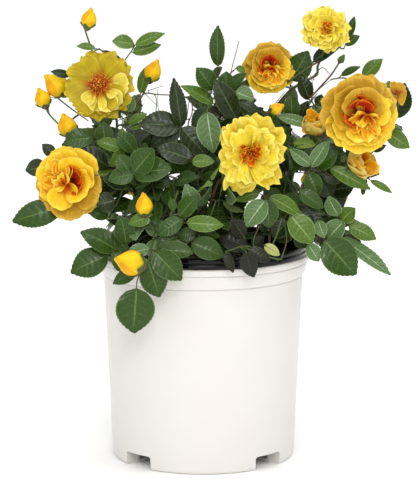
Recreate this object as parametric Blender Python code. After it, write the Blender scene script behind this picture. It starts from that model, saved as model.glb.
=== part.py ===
"""A rose bush in a white nursery pot, as a construction model.

The pot stands on the origin with its underside at z = 0; the front faces -Y and +Z is up.
Sizes below are in millimetres; MM turns them into Blender's metres when a mesh is made.
Leaf masses and rose heads are closed solids spread round their own centres. Each is held
back by flat walls half way to its neighbours, so none of them ever meets another.
"""

import math
import random

import bmesh
import bpy
from mathutils import Vector

MM = 0.001
GAP = 0.3                    # clear space between pieces that touch on the real plant

# The white outer pot.
TURN_SIDES = 36              # facets round a turned piece
WALL_FOOT_RADIUS = 72.5      # outside of the wall, carried down to the ground
WALL_TAPER = 0.0434          # radius gained per millimetre of height
WALL_THICKNESS = 1.8
POT_FLOOR = 2.0
FOOT_ROUND = 3.0             # radius of the rounded lower corner
COLLAR_BOTTOM = 147.0
COLLAR_RADIUS = 82.3
RIM_BOTTOM = 158.0
RIM_RADIUS = 84.1
RIM_TOP = 163.1

# Four drainage pockets round the foot of the outer pot.
POCKET_ANGLES = (45.0, 135.0, 225.0, 315.0)
POCKET_WIDTH = 27.0
POCKET_HEIGHT = 11.0
POCKET_BACK = 60.0           # distance of the pocket's back wall from the pot's axis
POCKET_WALL = 2.0
DRAIN_SLOT_WIDTH = 22.0
DRAIN_SLOT_MARGIN = 0.5      # left above the pot's floor and under the pocket's roof

# The black grower pot nested inside it.
LINER_CLEARANCE = 0.4
LINER_THICKNESS = 1.6
LINER_FLOOR = POCKET_HEIGHT + POCKET_WALL + GAP
LIP_TOP = 171.4
LIP_RADIUS = 83.2
DRAIN_HOLE_RADIUS = 5.0
DRAIN_HOLE_CIRCLE = 42.0

# The potting mix and the foot of the plant.
SOIL_LEVEL = 160.0
SOIL_ROUGHNESS = 2.0
STEM_PATCH_RADIUS = 17.0     # level ground left under the main stem
STEM_TOP = 181.0
STEM_FLARE_RADIUS = 13.5
STEM_NECK_RADIUS = 7.5
STEM_LEAN = (1.5, -2.0)      # how far the top of the main stem leans in x and y

# Leaf masses: centre, half sizes and (facets round, facets from pole to pole).
LARGE = (14, 9)
MEDIUM = (12, 8)
SMALL = (10, 7)
LEAF_MASSES = {
    "leaves_left_low": ((-76, -63, 177), (29, 23, 26), MEDIUM),
    "leaves_front_left": ((-35, -92, 181), (32, 21, 37), MEDIUM),
    "leaf_hanging_over_rim": ((-51, -103, 139), (16, 4, 20), SMALL),
    "leaves_left_middle": ((-50, -44, 226), (41, 35, 33), LARGE),
    "leaves_left_tip": ((-108, -36, 203), (41, 12, 22), SMALL),
    "leaves_upper_left": ((-67, -6, 258), (42, 28, 21), MEDIUM),
    "leaves_top_centre": ((5, 0, 272), (36, 29, 36), LARGE),
    "leaves_centre": ((4, -58, 209), (39, 32, 38), LARGE),
    "leaves_right_middle": ((80, -22, 236), (40, 30, 36), LARGE),
    "leaves_over_rim": ((27, -85, 171), (24, 19, 15), SMALL),
    "leaves_right_low": ((76, -62, 193), (34, 27, 24), MEDIUM),
    "leaves_right_drooping": ((117, -38, 180), (31, 17, 27), MEDIUM),
    "leaves_right_tip": ((136, 2, 256), (26, 16, 54), MEDIUM),
    "leaves_upper_right": ((87, 6, 308), (30, 12, 13), SMALL),
    "leaves_back_left": ((-66, 62, 236), (42, 34, 36), LARGE),
    "leaves_back": ((0, 78, 240), (40, 34, 38), LARGE),
    "leaves_back_right": ((70, 60, 230), (42, 34, 34), LARGE),
    "leaves_low_back_left": ((-88, 42, 190), (30, 34, 26), MEDIUM),
    "leaves_low_back": ((-8, 102, 190), (40, 24, 26), MEDIUM),
    "leaves_low_back_right": ((86, 46, 188), (32, 36, 26), MEDIUM),
}
LUMP_COUNT = 13
LUMP_HEIGHT = 0.28           # how far a lump stands out, as a share of the mass's reach
LEAST_REACH = 5.0

# Rose heads: centre, (width, height), and the way each faces.
BLOOM_FACETS = (11, 7)
BLOOM_LUMP_HEIGHT = 0.06
BLOOMS = {
    "bloom_upper_left": ((-81, -30, 299), (57, 55), (-0.15, -0.95, 0.22)),
    "bloom_top": ((52, 0, 310), (42, 42), (0.05, -0.92, 0.25)),
    "bloom_top_right": ((95, -20, 341), (41, 37), (0.0, -0.80, 0.50)),
    "bloom_right": ((120, -60, 280), (61, 60), (0.15, -0.95, 0.10)),
    "bloom_centre": ((36, -88, 254), (54, 63), (0.10, -0.95, 0.12)),
    "bloom_left": ((-103, -60, 227), (54, 57), (-0.18, -0.95, 0.08)),
    "bloom_back_left": ((-62, 114, 214), (50, 48), (-0.30, 0.90, 0.30)),
    "bloom_back": ((26, 124, 226), (54, 52), (0.10, 0.92, 0.35)),
    "bloom_back_right": ((104, 96, 204), (46, 46), (0.60, 0.75, 0.22)),
}
# A rose head's reach from its centre, as a share of its width: from its face to its calyx.
BLOOM_OUTLINE = ((0, 0.30), (35, 0.37), (65, 0.47), (90, 0.50), (115, 0.44), (145, 0.31), (180, 0.27))

# Canes: the height at which each leaves the main stem, the points it follows after that,
# and the mass it enters.
CANE_FOOT_RADIUS = 3.0
CANE_TIP_RADIUS = 1.8
CANE_SIDES = 6
LOW_FORK = 169.0
HIGH_FORK = 176.5
FORK_SPREAD = 4.5            # distance of a cane's root from the main stem's middle
CANES = {
    "cane_left_low": (LOW_FORK, ((-34, -28, 177), (-60, -46, 175)), "leaves_left_low"),
    "cane_left_middle": (HIGH_FORK, ((-16, -15, 193), (-34, -30, 212)), "leaves_left_middle"),
    "cane_upper_left": (HIGH_FORK, ((-16, 2, 200), (-38, 6, 236), (-52, 0, 250)), "leaves_upper_left"),
    "cane_top": (STEM_TOP - 2, ((1, -1, 205), (0, 0, 236)), "leaves_top_centre"),
    "cane_centre": (HIGH_FORK, ((3, -18, 186), (4, -36, 200)), "leaves_centre"),
    "cane_right_middle": (HIGH_FORK, ((20, -7, 192), (44, -14, 217)), "leaves_right_middle"),
    "cane_right_low": (LOW_FORK, ((26, -26, 180), (50, -46, 186)), "leaves_right_low"),
    "cane_upper_right": (HIGH_FORK, ((18, 9, 200), (42, 20, 250), (66, 20, 286)), "leaves_upper_right"),
    "cane_back_left": (LOW_FORK, ((-17, 17, 196), (-38, 38, 220)), "leaves_back_left"),
    "cane_back": (HIGH_FORK, ((-2, 20, 194), (0, 46, 216)), "leaves_back"),
    "cane_back_right": (LOW_FORK, ((20, 18, 192), (44, 38, 212)), "leaves_back_right"),
}

# Flower stems: the mass each rises from, where it leaves it, a point on the way, its rose.
FLOWER_STEM_RADIUS = 1.5
FLOWER_STEM_SIDES = 6
FLOWER_STEMS = {
    "stem_upper_left": ("leaves_upper_left", (-68, -6, 270), (-74, -6, 284), "bloom_upper_left"),
    "stem_top": ("leaves_top_centre", (12, 4, 284), (34, 10, 298), "bloom_top"),
    "stem_top_right": ("leaves_upper_right", (90, 6, 310), (95, -2, 324), "bloom_top_right"),
    "stem_right": ("leaves_right_middle", (92, -26, 256), (108, -34, 270), "bloom_right"),
    "stem_centre": ("leaves_centre", (12, -62, 228), (26, -66, 243), "bloom_centre"),
    "stem_left": ("leaves_left_middle", (-66, -46, 228), (-88, -42, 229), "bloom_left"),
    "stem_back_left": ("leaves_back_left", (-66, 76, 232), (-64, 92, 224), "bloom_back_left"),
    "stem_back": ("leaves_back", (10, 86, 244), (20, 102, 236), "bloom_back"),
    "stem_back_right": ("leaves_back_right", (86, 70, 228), (96, 82, 216), "bloom_back_right"),
}

# Buds on their own stalks: the mass each rises from, where it starts, a bend, the bud's tip,
# and the bud's (length, thickness).
BUD_STALK_RADIUS = 1.1
BUD_SIDES = 7
BUDS = {
    "bud_top_left": ("leaves_upper_left", (-76, -6, 272), (-84, -2, 318), (-88, -14, 359), (17, 11)),
    "bud_top_middle": ("leaves_upper_left", (-46, -6, 270), (-50, -8, 284), (-35, -14, 317), (16, 12)),
    "bud_far_left": ("leaves_upper_left", (-84, -4, 266), (-98, 6, 282), (-120, -4, 305), (19, 16)),
    "bud_outer_left": ("leaves_upper_left", (-90, 0, 264), (-108, 4, 270), (-128, -6, 295), (15, 11)),
    "bud_front_left": ("leaves_front_left", (-48, -94, 178), (-46, -108, 180), (-65, -116, 177), (21, 17)),
}

POT_WHITE = (0.86, 0.84, 0.82)
LINER_BLACK = (0.012, 0.012, 0.013)
SOIL_BROWN = (0.055, 0.035, 0.024)
CANE_GREEN = (0.07, 0.09, 0.03)
LEAF_GREEN = (0.07, 0.14, 0.035)
PETAL_GOLD = (0.86, 0.50, 0.06)


def clear_scene():
    """Remove whatever the file opened with."""
    for thing in list(bpy.data.objects):
        bpy.data.objects.remove(thing)


def material(name, colour, roughness):
    """A plain Principled finish."""
    made = bpy.data.materials.new(name)
    made.use_nodes = True
    shader = made.node_tree.nodes["Principled BSDF"]
    shader.inputs["Base Color"].default_value = (*colour, 1.0)
    shader.inputs["Roughness"].default_value = roughness
    shader.inputs["Metallic"].default_value = 0.0
    return made


def mesh_object(name, points, faces, finish=None, cutter=False):
    """Link an object made from points in millimetres, its faces turned outwards."""
    mesh = bpy.data.meshes.new(name)
    mesh.from_pydata([Vector(p) * MM for p in points], [], faces)
    shape = bmesh.new()
    shape.from_mesh(mesh)
    bmesh.ops.recalc_face_normals(shape, faces=shape.faces)
    shape.to_mesh(mesh)
    shape.free()
    if finish:
        mesh.materials.append(finish)
    made = bpy.data.objects.new(name, mesh)
    bpy.context.scene.collection.objects.link(made)
    if cutter:
        made.hide_render = True
        made.display_type = "WIRE"
    return made


def cut(target, cutter):
    """Take the cutter's shape out of the target."""
    step = target.modifiers.new("cut_" + cutter.name, "BOOLEAN")
    step.operation = "DIFFERENCE"
    step.solver = "EXACT"
    step.object = cutter


def smooth(piece):
    """Shade a round piece smooth between its sharp edges."""
    piece.data.shade_smooth()
    piece.data.set_sharp_from_angle(angle=math.radians(40))


def turned(name, profile, finish=None, cutter=False, sides=TURN_SIDES, height_at=None):
    """Turn a profile that starts and ends on the Z axis. height_at adds to a point's height."""
    lift = height_at or (lambda radius, angle, z: 0.0)
    points = []
    rings = []
    for radius, z in profile:
        if radius == 0:
            rings.append([len(points)])
            points.append((0, 0, z + lift(0, 0, z)))
            continue
        ring = []
        for side in range(sides):
            angle = math.tau * (side + 0.5) / sides
            ring.append(len(points))
            points.append((radius * math.cos(angle), radius * math.sin(angle),
                           z + lift(radius, angle, z)))
        rings.append(ring)
    return mesh_object(name, points, skin(rings), finish, cutter)


def skin(rings):
    """Triangles between neighbouring rings; a ring of one point closes an end."""
    faces = []
    for low, high in zip(rings, rings[1:]):
        sides = max(len(low), len(high))
        for side in range(sides):
            after = (side + 1) % sides
            if len(low) == 1:
                faces.append((low[0], high[side], high[after]))
            elif len(high) == 1:
                faces.append((low[side], low[after], high[0]))
            else:
                faces.append((low[side], low[after], high[after]))
                faces.append((low[side], high[after], high[side]))
    return faces


def wall_radius(z):
    """Outside radius of the outer pot's straight wall."""
    return WALL_FOOT_RADIUS + WALL_TAPER * z


def wedge_blocks(name, near, far, width, bottom, top):
    """One cutter with a box at each pocket, from radius near to radius far."""
    points = []
    faces = []
    box = ((0, 1, 2, 3), (4, 5, 6, 7), (0, 1, 5, 4), (1, 2, 6, 5), (2, 3, 7, 6), (3, 0, 4, 7))
    for degrees in POCKET_ANGLES:
        turn = math.radians(degrees)
        first = len(points)
        for z in (bottom, top):
            for along, across in ((near, -1), (far, -1), (far, 1), (near, 1)):
                side = across * width / 2
                points.append((along * math.cos(turn) - side * math.sin(turn),
                               along * math.sin(turn) + side * math.cos(turn), z))
        faces += [tuple(first + corner for corner in face) for face in box]
    return mesh_object(name, points, faces, cutter=True)


def outer_pot(finish):
    """The white moulded pot: a straight tapered wall, a collar, a rolled rim, four pockets."""
    corner = [(wall_radius(FOOT_ROUND) - FOOT_ROUND * (1 - math.sin(a)), FOOT_ROUND * (1 - math.cos(a)))
              for a in (0, math.radians(30), math.radians(60), math.radians(90))]
    collar = [(wall_radius(COLLAR_BOTTOM), COLLAR_BOTTOM),
              (wall_radius(COLLAR_BOTTOM) + 1.0, COLLAR_BOTTOM + 1.6),
              (COLLAR_RADIUS - 0.6, COLLAR_BOTTOM + 4.8),
              (COLLAR_RADIUS, COLLAR_BOTTOM + 8.0),
              (COLLAR_RADIUS, RIM_BOTTOM)]
    rim = [(RIM_RADIUS - 0.2, RIM_BOTTOM + 0.7),
           (RIM_RADIUS, RIM_BOTTOM + 2.4),
           (RIM_RADIUS - 0.5, RIM_TOP - 0.8),
           (RIM_RADIUS - 1.5, RIM_TOP)]
    pot = turned("outer_pot", [(0, 0)] + corner + collar + rim + [(0, RIM_TOP)], finish)
    inside = [(0, POT_FLOOR)]
    inside += [(wall_radius(z) - WALL_THICKNESS, z) for z in (POT_FLOOR, RIM_TOP + 5)]
    cavity = turned("pot_cavity", inside + [(0, RIM_TOP + 5)], cutter=True)
    cut(cavity, wedge_blocks("pocket_housings", POCKET_BACK - POCKET_WALL, 100,
                             POCKET_WIDTH + 2 * POCKET_WALL, -5, POCKET_HEIGHT + POCKET_WALL))
    cut(pot, cavity)
    cut(pot, wedge_blocks("pockets", POCKET_BACK, 100, POCKET_WIDTH, -5, POCKET_HEIGHT))
    cut(pot, wedge_blocks("drain_slots", POCKET_BACK - 2 * POCKET_WALL, POCKET_BACK + 1, DRAIN_SLOT_WIDTH,
                          POT_FLOOR + DRAIN_SLOT_MARGIN, POCKET_HEIGHT - DRAIN_SLOT_MARGIN))
    smooth(pot)
    return pot


def liner_wall(z):
    """Outside radius of the black grower pot's wall."""
    return wall_radius(z) - WALL_THICKNESS - LINER_CLEARANCE


def inner_pot(finish):
    """The black grower pot: it stands on the pockets' roofs and its two-bead lip sits on the rim."""
    seat = RIM_TOP + GAP
    outside = [(0, LINER_FLOOR), (liner_wall(LINER_FLOOR) - 2.5, LINER_FLOOR),
               (liner_wall(LINER_FLOOR + 2.5), LINER_FLOOR + 2.5), (liner_wall(seat), seat)]
    middle = (seat + LIP_TOP) / 2
    lip = [(LIP_RADIUS - 1.1, seat), (LIP_RADIUS, seat + 1.3), (LIP_RADIUS, middle - 1.2),
           (LIP_RADIUS - 0.9, middle), (LIP_RADIUS - 0.2, middle + 1.1),
           (LIP_RADIUS - 0.4, LIP_TOP - 1.1), (LIP_RADIUS - 2.0, LIP_TOP),
           (LIP_RADIUS - 4.0, LIP_TOP), (liner_wall(seat) - LINER_THICKNESS + 1.2, middle)]
    floor_top = LINER_FLOOR + LINER_THICKNESS
    inside = [(liner_wall(seat) - LINER_THICKNESS, seat),
              (liner_wall(floor_top) - LINER_THICKNESS, floor_top), (0, floor_top)]
    pot = turned("inner_pot", outside + lip + inside, finish)
    points = []
    rings = []
    for degrees in POCKET_ANGLES:
        turn = math.radians(degrees)
        middle_x = DRAIN_HOLE_CIRCLE * math.cos(turn)
        middle_y = DRAIN_HOLE_CIRCLE * math.sin(turn)
        hole = []
        for z in (LINER_FLOOR - 3, floor_top + 3):
            hole.append([len(points) + k for k in range(10)])
            points += [(middle_x + DRAIN_HOLE_RADIUS * math.cos(math.tau * k / 10),
                        middle_y + DRAIN_HOLE_RADIUS * math.sin(math.tau * k / 10), z)
                       for k in range(10)]
        rings += skin(hole) + [tuple(hole[0]), tuple(hole[1])]
    cut(pot, mesh_object("liner_drain_holes", points, rings, cutter=True))
    smooth(pot)
    return pot


def potting_mix(finish):
    """The root ball that fills the grower pot, rough on top, level where the stem stands."""
    bottom = LINER_FLOOR + LINER_THICKNESS + GAP

    def soil_radius(z):
        return liner_wall(z) - LINER_THICKNESS - GAP

    rng = random.Random("potting mix")
    swells = [(rng.uniform(0.05, 0.16), rng.uniform(0, math.tau), rng.uniform(0, math.tau))
              for _ in range(4)]

    def rough(radius, angle, z):
        if z < SOIL_LEVEL - 3 or radius < STEM_PATCH_RADIUS + 1:
            return 0.0
        x = radius * math.cos(angle)
        y = radius * math.sin(angle)
        waves = [math.sin(f * (x * math.cos(a) + y * math.sin(a)) + b) for f, a, b in swells]
        return SOIL_ROUGHNESS * sum(waves) / len(waves)

    profile = [(0, bottom), (soil_radius(bottom), bottom),
               (soil_radius(SOIL_LEVEL - 5), SOIL_LEVEL - 5), (soil_radius(SOIL_LEVEL - 2), SOIL_LEVEL - 2),
               (64, SOIL_LEVEL - 0.5), (50, SOIL_LEVEL), (34, SOIL_LEVEL),
               (STEM_PATCH_RADIUS, SOIL_LEVEL), (0, SOIL_LEVEL)]
    mix = turned("potting_mix", profile, finish, sides=28, height_at=rough)
    smooth(mix)
    return mix


def catmull_rom(route, steps):
    """Points along a smooth curve through the route, with the route's own ends."""
    knots = [Vector(p) for p in route]
    ends = [2 * knots[0] - knots[1]] + knots + [2 * knots[-1] - knots[-2]]
    line = []
    for a, b, c, d in zip(ends, ends[1:], ends[2:], ends[3:]):
        for step in range(steps):
            t = step / steps
            line.append(0.5 * (2 * b + (c - a) * t + (2 * a - 5 * b + 4 * c - d) * t ** 2
                               + (3 * b - a - 3 * c + d) * t ** 3))
    return line + [knots[-1]]


def limb(name, line, radii, sides, finish=None, swell=0.0, cutter=False):
    """A round limb along a line, closed by flat ends; swell fattens it evenly all round."""
    points = []
    rings = []
    side_way = Vector((0.3, 1.0, 0.2)).cross(line[1] - line[0]).normalized()
    for number, (place, radius) in enumerate(zip(line, radii)):
        before = line[max(number - 1, 0)]
        after = line[min(number + 1, len(line) - 1)]
        along = (after - before).normalized()
        side_way = (side_way - side_way.dot(along) * along).normalized()
        other_way = along.cross(side_way)
        ring = []
        for side in range(sides):
            angle = math.tau * side / sides
            reach = (radius + swell) * (math.cos(angle) * side_way + math.sin(angle) * other_way)
            ring.append(len(points))
            points.append(place + reach)
        rings.append(ring)
    faces = skin(rings) + [tuple(rings[0]), tuple(rings[-1])]
    made = mesh_object(name, points, faces, finish, cutter)
    smooth(made)
    return made


def lumps(seed, height):
    """A factor near 1 for each direction, with a few seeded knobs standing out."""
    rng = random.Random(seed)
    knobs = []
    for _ in range(LUMP_COUNT):
        way = Vector((rng.gauss(0, 1), rng.gauss(0, 1), rng.gauss(0, 1))).normalized()
        knobs.append((way, height * rng.uniform(0.5, 1.0)))
    return lambda way: 1 - 0.3 * height + sum(h * max(0.0, way.dot(k)) ** 8 for k, h in knobs)


def oval(half_sizes):
    """Reach of an oval with these half sizes, along a direction."""
    return lambda way: 1 / math.sqrt(sum((w / half) ** 2 for w, half in zip(way, half_sizes)))


def outline_at(degrees):
    """A rose head's reach at an angle from its face, read between the named points."""
    for (low, low_reach), (high, high_reach) in zip(BLOOM_OUTLINE, BLOOM_OUTLINE[1:]):
        if degrees <= high:
            return low_reach + (high_reach - low_reach) * (degrees - low) / (high - low)
    return BLOOM_OUTLINE[-1][1]


def bloom_reach(size, facing):
    """Reach of a rose head: a shallow dome in front and a cone to the calyx behind."""
    width, height = size
    front = Vector(facing).normalized()
    right = front.cross(Vector((0, 0, 1))).normalized()
    upward = right.cross(front)

    def reach(way):
        degrees = math.degrees(math.acos(max(-1.0, min(1.0, way.dot(front)))))
        across = abs(way.dot(right))
        upright = abs(way.dot(upward))
        spread = math.hypot(across, upright) or 1.0
        tall = height / width
        oval_share = (across + upright * tall) / (across + upright or 1.0)
        return width * outline_at(degrees) * (1 + (oval_share - 1) * min(1.0, spread))

    return reach


def star_points(centre, reach, facets, pole):
    """Points round a centre and the triangles over them; the poles lie along pole."""
    round_count, pole_count = facets
    axis = Vector(pole).normalized()
    side_way = axis.cross(Vector((0.31, 0.87, 0.39))).normalized()
    other_way = axis.cross(side_way)
    middle = Vector(centre)
    points = []
    rings = []
    for row in range(pole_count + 1):
        tilt = math.pi * row / pole_count
        count = 1 if row in (0, pole_count) else round_count
        ring = []
        for side in range(count):
            angle = math.tau * (side + 0.5 * (row % 2)) / round_count
            way = (math.cos(tilt) * axis
                   + math.sin(tilt) * (math.cos(angle) * side_way + math.sin(angle) * other_way))
            ring.append(len(points))
            points.append(middle + reach(way) * way)
        rings.append(ring)
    return points, skin(rings)


def walled(reach, walls):
    """The same reach, stopped at every wall (direction, distance from the centre)."""
    def stopped(way):
        far = reach(way)
        for normal, distance in walls:
            lean = normal.dot(way)
            if lean > 1e-6:
                far = min(far, distance / lean)
        return max(far, 1.0)
    return stopped


def grown(reach, extra):
    """The same reach, and a little more."""
    return lambda way: reach(way) + extra


def all_reaches():
    """For each mass and rose head: centre, reach, facets and pole, with the walls put in."""
    free = {}
    for name, (centre, half_sizes, facets) in LEAF_MASSES.items():
        shape = oval(half_sizes)
        knobs = lumps(name, LUMP_HEIGHT)
        free[name] = (Vector(centre), lambda way, s=shape, k=knobs: s(way) * k(way), facets, (0, 0, 1))
    for name, (centre, size, facing) in BLOOMS.items():
        shape = bloom_reach(size, facing)
        knobs = lumps(name, BLOOM_LUMP_HEIGHT)
        free[name] = (Vector(centre), lambda way, s=shape, k=knobs: s(way) * k(way),
                      BLOOM_FACETS, facing)
    kept = {}
    for name, (centre, reach, facets, pole) in free.items():
        walls = []
        for other, (other_centre, other_reach, _, _) in free.items():
            if other == name:
                continue
            apart = other_centre - centre
            normal = apart.normalized()
            mine = support(reach, normal)
            theirs = support(other_reach, -normal)
            squeeze = mine + theirs + 2 * GAP - apart.length
            if squeeze <= 0:
                continue
            share = yielding(name, other, mine, theirs)
            walls.append((normal, max(mine - squeeze * share, LEAST_REACH)))
        kept[name] = (centre, walled(reach, walls), facets, pole)
    return kept


def yielding(name, other, mine, theirs):
    """The share of a squeeze that this piece gives up: leaves yield to roses."""
    if name in BLOOMS and other in LEAF_MASSES:
        return 0.0
    if name in LEAF_MASSES and other in BLOOMS:
        return 1.0
    return mine / (mine + theirs)


def support(reach, normal):
    """How far a shape goes along a direction, looked for over a cone of directions round it."""
    side_way = normal.cross(Vector((0.2, 0.9, 0.4))).normalized()
    other_way = normal.cross(side_way)
    best = reach(normal)
    for tilt in (15, 30, 45, 60, 75):
        lean = math.radians(tilt)
        for turn in range(12):
            angle = math.tau * turn / 12
            way = (math.cos(lean) * normal
                   + math.sin(lean) * (math.cos(angle) * side_way + math.sin(angle) * other_way))
            best = max(best, reach(way) * math.cos(lean))
    return best


def star_solid(name, shape, finish, swell=0.0, cutter=False):
    """A leaf mass or rose head, or a slightly larger copy of it to cut with."""
    centre, reach, facets, pole = shape
    points, faces = star_points(centre, grown(reach, swell), facets, pole)
    made = mesh_object(name, points, faces, finish, cutter)
    smooth(made)
    return made


def rim_room():
    """The space that the pot fills, which no leaf mass may enter."""
    reach = (RIM_RADIUS + GAP) / math.cos(math.pi / TURN_SIDES)
    return turned("rim_room", [(0, 60), (reach, 60), (reach, LIP_TOP + GAP), (0, LIP_TOP + GAP)],
                  cutter=True)


def stem_solid(name, extra, finish=None, cutter=False):
    """The main stem's flared and knuckled shape, with this much added all round."""
    rows = 7
    sides = 9
    rng = random.Random("main stem")
    foot = SOIL_LEVEL + GAP
    points = []
    rings = []
    for row in range(rows):
        up = row / (rows - 1)
        flare = STEM_NECK_RADIUS + (STEM_FLARE_RADIUS - STEM_NECK_RADIUS) * (1 - up) ** 2.2
        if row == rows - 1:
            flare *= 0.7
        ring = []
        for side in range(sides):
            angle = math.tau * side / sides
            radius = flare * (1 + rng.uniform(-0.08, 0.12)) + extra
            ring.append(len(points))
            points.append((STEM_LEAN[0] * up + radius * math.cos(angle),
                           STEM_LEAN[1] * up + radius * math.sin(angle),
                           foot + (STEM_TOP + extra - foot) * up))
        rings.append(ring)
    faces = skin(rings) + [tuple(rings[0]), tuple(rings[-1])]
    return mesh_object(name, points, faces, finish, cutter)


def taper(count, first, last):
    """Radii that shrink evenly along a limb."""
    return [first + (last - first) * k / (count - 1) for k in range(count)]


def canes(finish, shapes, cutters, stem_room):
    """The main boughs: from the main stem to the face of the mass that each enters."""
    for name, (fork, bends, mass) in CANES.items():
        outwards = Vector((bends[0][0], bends[0][1], 0))
        spread = min(FORK_SPREAD, 0.3 * outwards.length)
        root = Vector((STEM_LEAN[0], STEM_LEAN[1], fork)) + spread * outwards.normalized()
        goal = shapes[mass][0]
        line = catmull_rom([root, *bends, Vector(bends[-1]) + 0.75 * (goal - Vector(bends[-1]))], 2)
        cane = limb(name, line, taper(len(line), CANE_FOOT_RADIUS, CANE_TIP_RADIUS), CANE_SIDES, finish)
        cut(cane, stem_room)
        cut(cane, cutters[mass])


def bloom_foot(name, depth):
    """A point in the calyx of a rose, this far behind its centre as a share of its reach."""
    centre, size, facing = BLOOMS[name]
    return Vector(centre) - Vector(facing).normalized() * size[0] * BLOOM_OUTLINE[-1][1] * depth


def flower_stems(finish, cutters):
    """Slim stems from a leaf mass to the calyx of each rose."""
    for name, (mass, start, bend, bloom) in FLOWER_STEMS.items():
        line = catmull_rom([start, bend, bloom_foot(bloom, 1.2), bloom_foot(bloom, 0.6)], 2)
        radii = taper(len(line), FLOWER_STEM_RADIUS * 1.15, FLOWER_STEM_RADIUS)
        stem = limb(name, line, radii, FLOWER_STEM_SIDES, finish)
        cut(stem, cutters[mass])
        cut(stem, cutters[bloom])


def buds(finish, cutters):
    """Each bud and its stalk as one limb: stalk, hip, pointed bud."""
    swelling = ((0.0, 1.0), (0.08, 2.6), (0.25, 3.6), (0.5, 3.9), (0.75, 2.6), (1.0, 0.5))
    for name, (mass, start, bend, tip, (length, thickness)) in BUDS.items():
        stalk = catmull_rom([start, bend, tip], 4)
        way = (stalk[-1] - stalk[-2]).normalized()
        base = Vector(tip) - way * length
        stalk = [p for p in stalk if (p - Vector(tip)).length > length + 2]
        radii = [BUD_STALK_RADIUS] * len(stalk)
        for along, share in swelling:
            stalk.append(base + way * length * along)
            radii.append(max(share / 3.9 * thickness / 2, 0.6))
        bud = limb(name, stalk, radii, BUD_SIDES, finish)
        cut(bud, cutters[mass])


def build():
    """Make the pots, the mix, the stem and canes, then the masses, roses and buds."""
    clear_scene()
    white = material("white pot plastic", POT_WHITE, 0.35)
    black = material("black pot plastic", LINER_BLACK, 0.3)
    soil = material("potting mix", SOIL_BROWN, 0.95)
    bark = material("green cane", CANE_GREEN, 0.6)
    leaf = material("rose leaves", LEAF_GREEN, 0.5)
    petal = material("rose petals", PETAL_GOLD, 0.55)
    outer_pot(white)
    inner_pot(black)
    potting_mix(soil)
    stem_solid("main_stem", 0.0, bark)
    stem_room = stem_solid("main_stem_room", GAP + 0.2, cutter=True)
    shapes = all_reaches()
    rim = rim_room()
    cutters = {}
    for name, shape in shapes.items():
        finish = petal if name in BLOOMS else leaf
        piece = star_solid(name, shape, finish)
        if name in LEAF_MASSES:
            cut(piece, rim)
        cutters[name] = star_solid("room_" + name, shape, None, swell=0.5, cutter=True)
    canes(bark, shapes, cutters, stem_room)
    flower_stems(bark, cutters)
    buds(bark, cutters)


build()
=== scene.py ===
"""A yellow rose bush in a white nursery pot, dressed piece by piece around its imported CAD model.

Lengths are in millimetres unless a name says otherwise, and become metres where a mesh is made.
The bush shows its front to -Y, with +X to the front's right, and the pot stands on Z = 0.
"""

import math

import bpy
import numpy as np
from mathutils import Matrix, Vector


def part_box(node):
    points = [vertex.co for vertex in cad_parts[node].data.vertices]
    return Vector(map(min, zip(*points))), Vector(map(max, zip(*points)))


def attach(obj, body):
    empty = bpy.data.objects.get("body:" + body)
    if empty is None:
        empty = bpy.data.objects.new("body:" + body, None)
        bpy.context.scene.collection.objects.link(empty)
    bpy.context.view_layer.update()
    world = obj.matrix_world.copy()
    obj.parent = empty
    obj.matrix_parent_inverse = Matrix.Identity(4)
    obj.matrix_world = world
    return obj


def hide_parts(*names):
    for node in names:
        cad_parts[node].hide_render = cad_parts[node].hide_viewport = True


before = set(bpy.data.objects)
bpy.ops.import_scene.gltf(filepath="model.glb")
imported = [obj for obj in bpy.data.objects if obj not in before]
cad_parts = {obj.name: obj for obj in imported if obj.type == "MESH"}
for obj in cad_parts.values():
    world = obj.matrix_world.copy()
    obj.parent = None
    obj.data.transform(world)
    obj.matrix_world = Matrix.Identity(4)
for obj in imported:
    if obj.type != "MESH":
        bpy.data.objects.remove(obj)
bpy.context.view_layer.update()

# ---------------------------------------------------------------------------------------------
# Outer pot: a tapered one-gallon nursery pot, moulded in one shot in warm white polypropylene.
# A stepped collar and a rolled rim stiffen its mouth, and four pockets round its foot hold the
# drainage slots. Its wall is left bare, with the soft gloss that the mould gives.
# ---------------------------------------------------------------------------------------------
MM = 0.001
POT_SIDES = 192
FOOT_RADIUS = 72.5
WALL_TAPER = 0.0434          # how much the wall's radius grows for each millimetre of height
WALL = 1.8
POT_FLOOR = 2.0
FOOT_ROUNDING = 3.0
COLLAR_BOTTOM = 147.0
COLLAR_RADIUS = 82.3
RIM_BOTTOM = 158.0
RIM_RADIUS = 84.1
RIM_TOP = 163.1
POCKET_TURNS = (45, 135, 225, 315)
POCKET_BACK = 60.0           # distance of a pocket's back wall from the pot's axis
POCKET_WIDTH = 27.0
POCKET_HEIGHT = 11.0
POCKET_WALL = 2.0
POCKET_ROUNDING = 2.2
SLOT_WIDTH = 26.0            # the opening at the back of each pocket, which lets the water out
SLOT_REACH = 22.0            # how far it runs on through the floor, towards the middle
OUTSIDE = 100.0              # where a cutter ends, well outside the pot's wall


def paint(red, green, blue):
    """A linear colour from its values on a paint card that runs from 0 to 255."""
    card = np.array((red, green, blue)) / 255
    return (*np.where(card > 0.04045, ((card + 0.055) / 1.055) ** 2.4, card / 12.92), 1.0)


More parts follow.
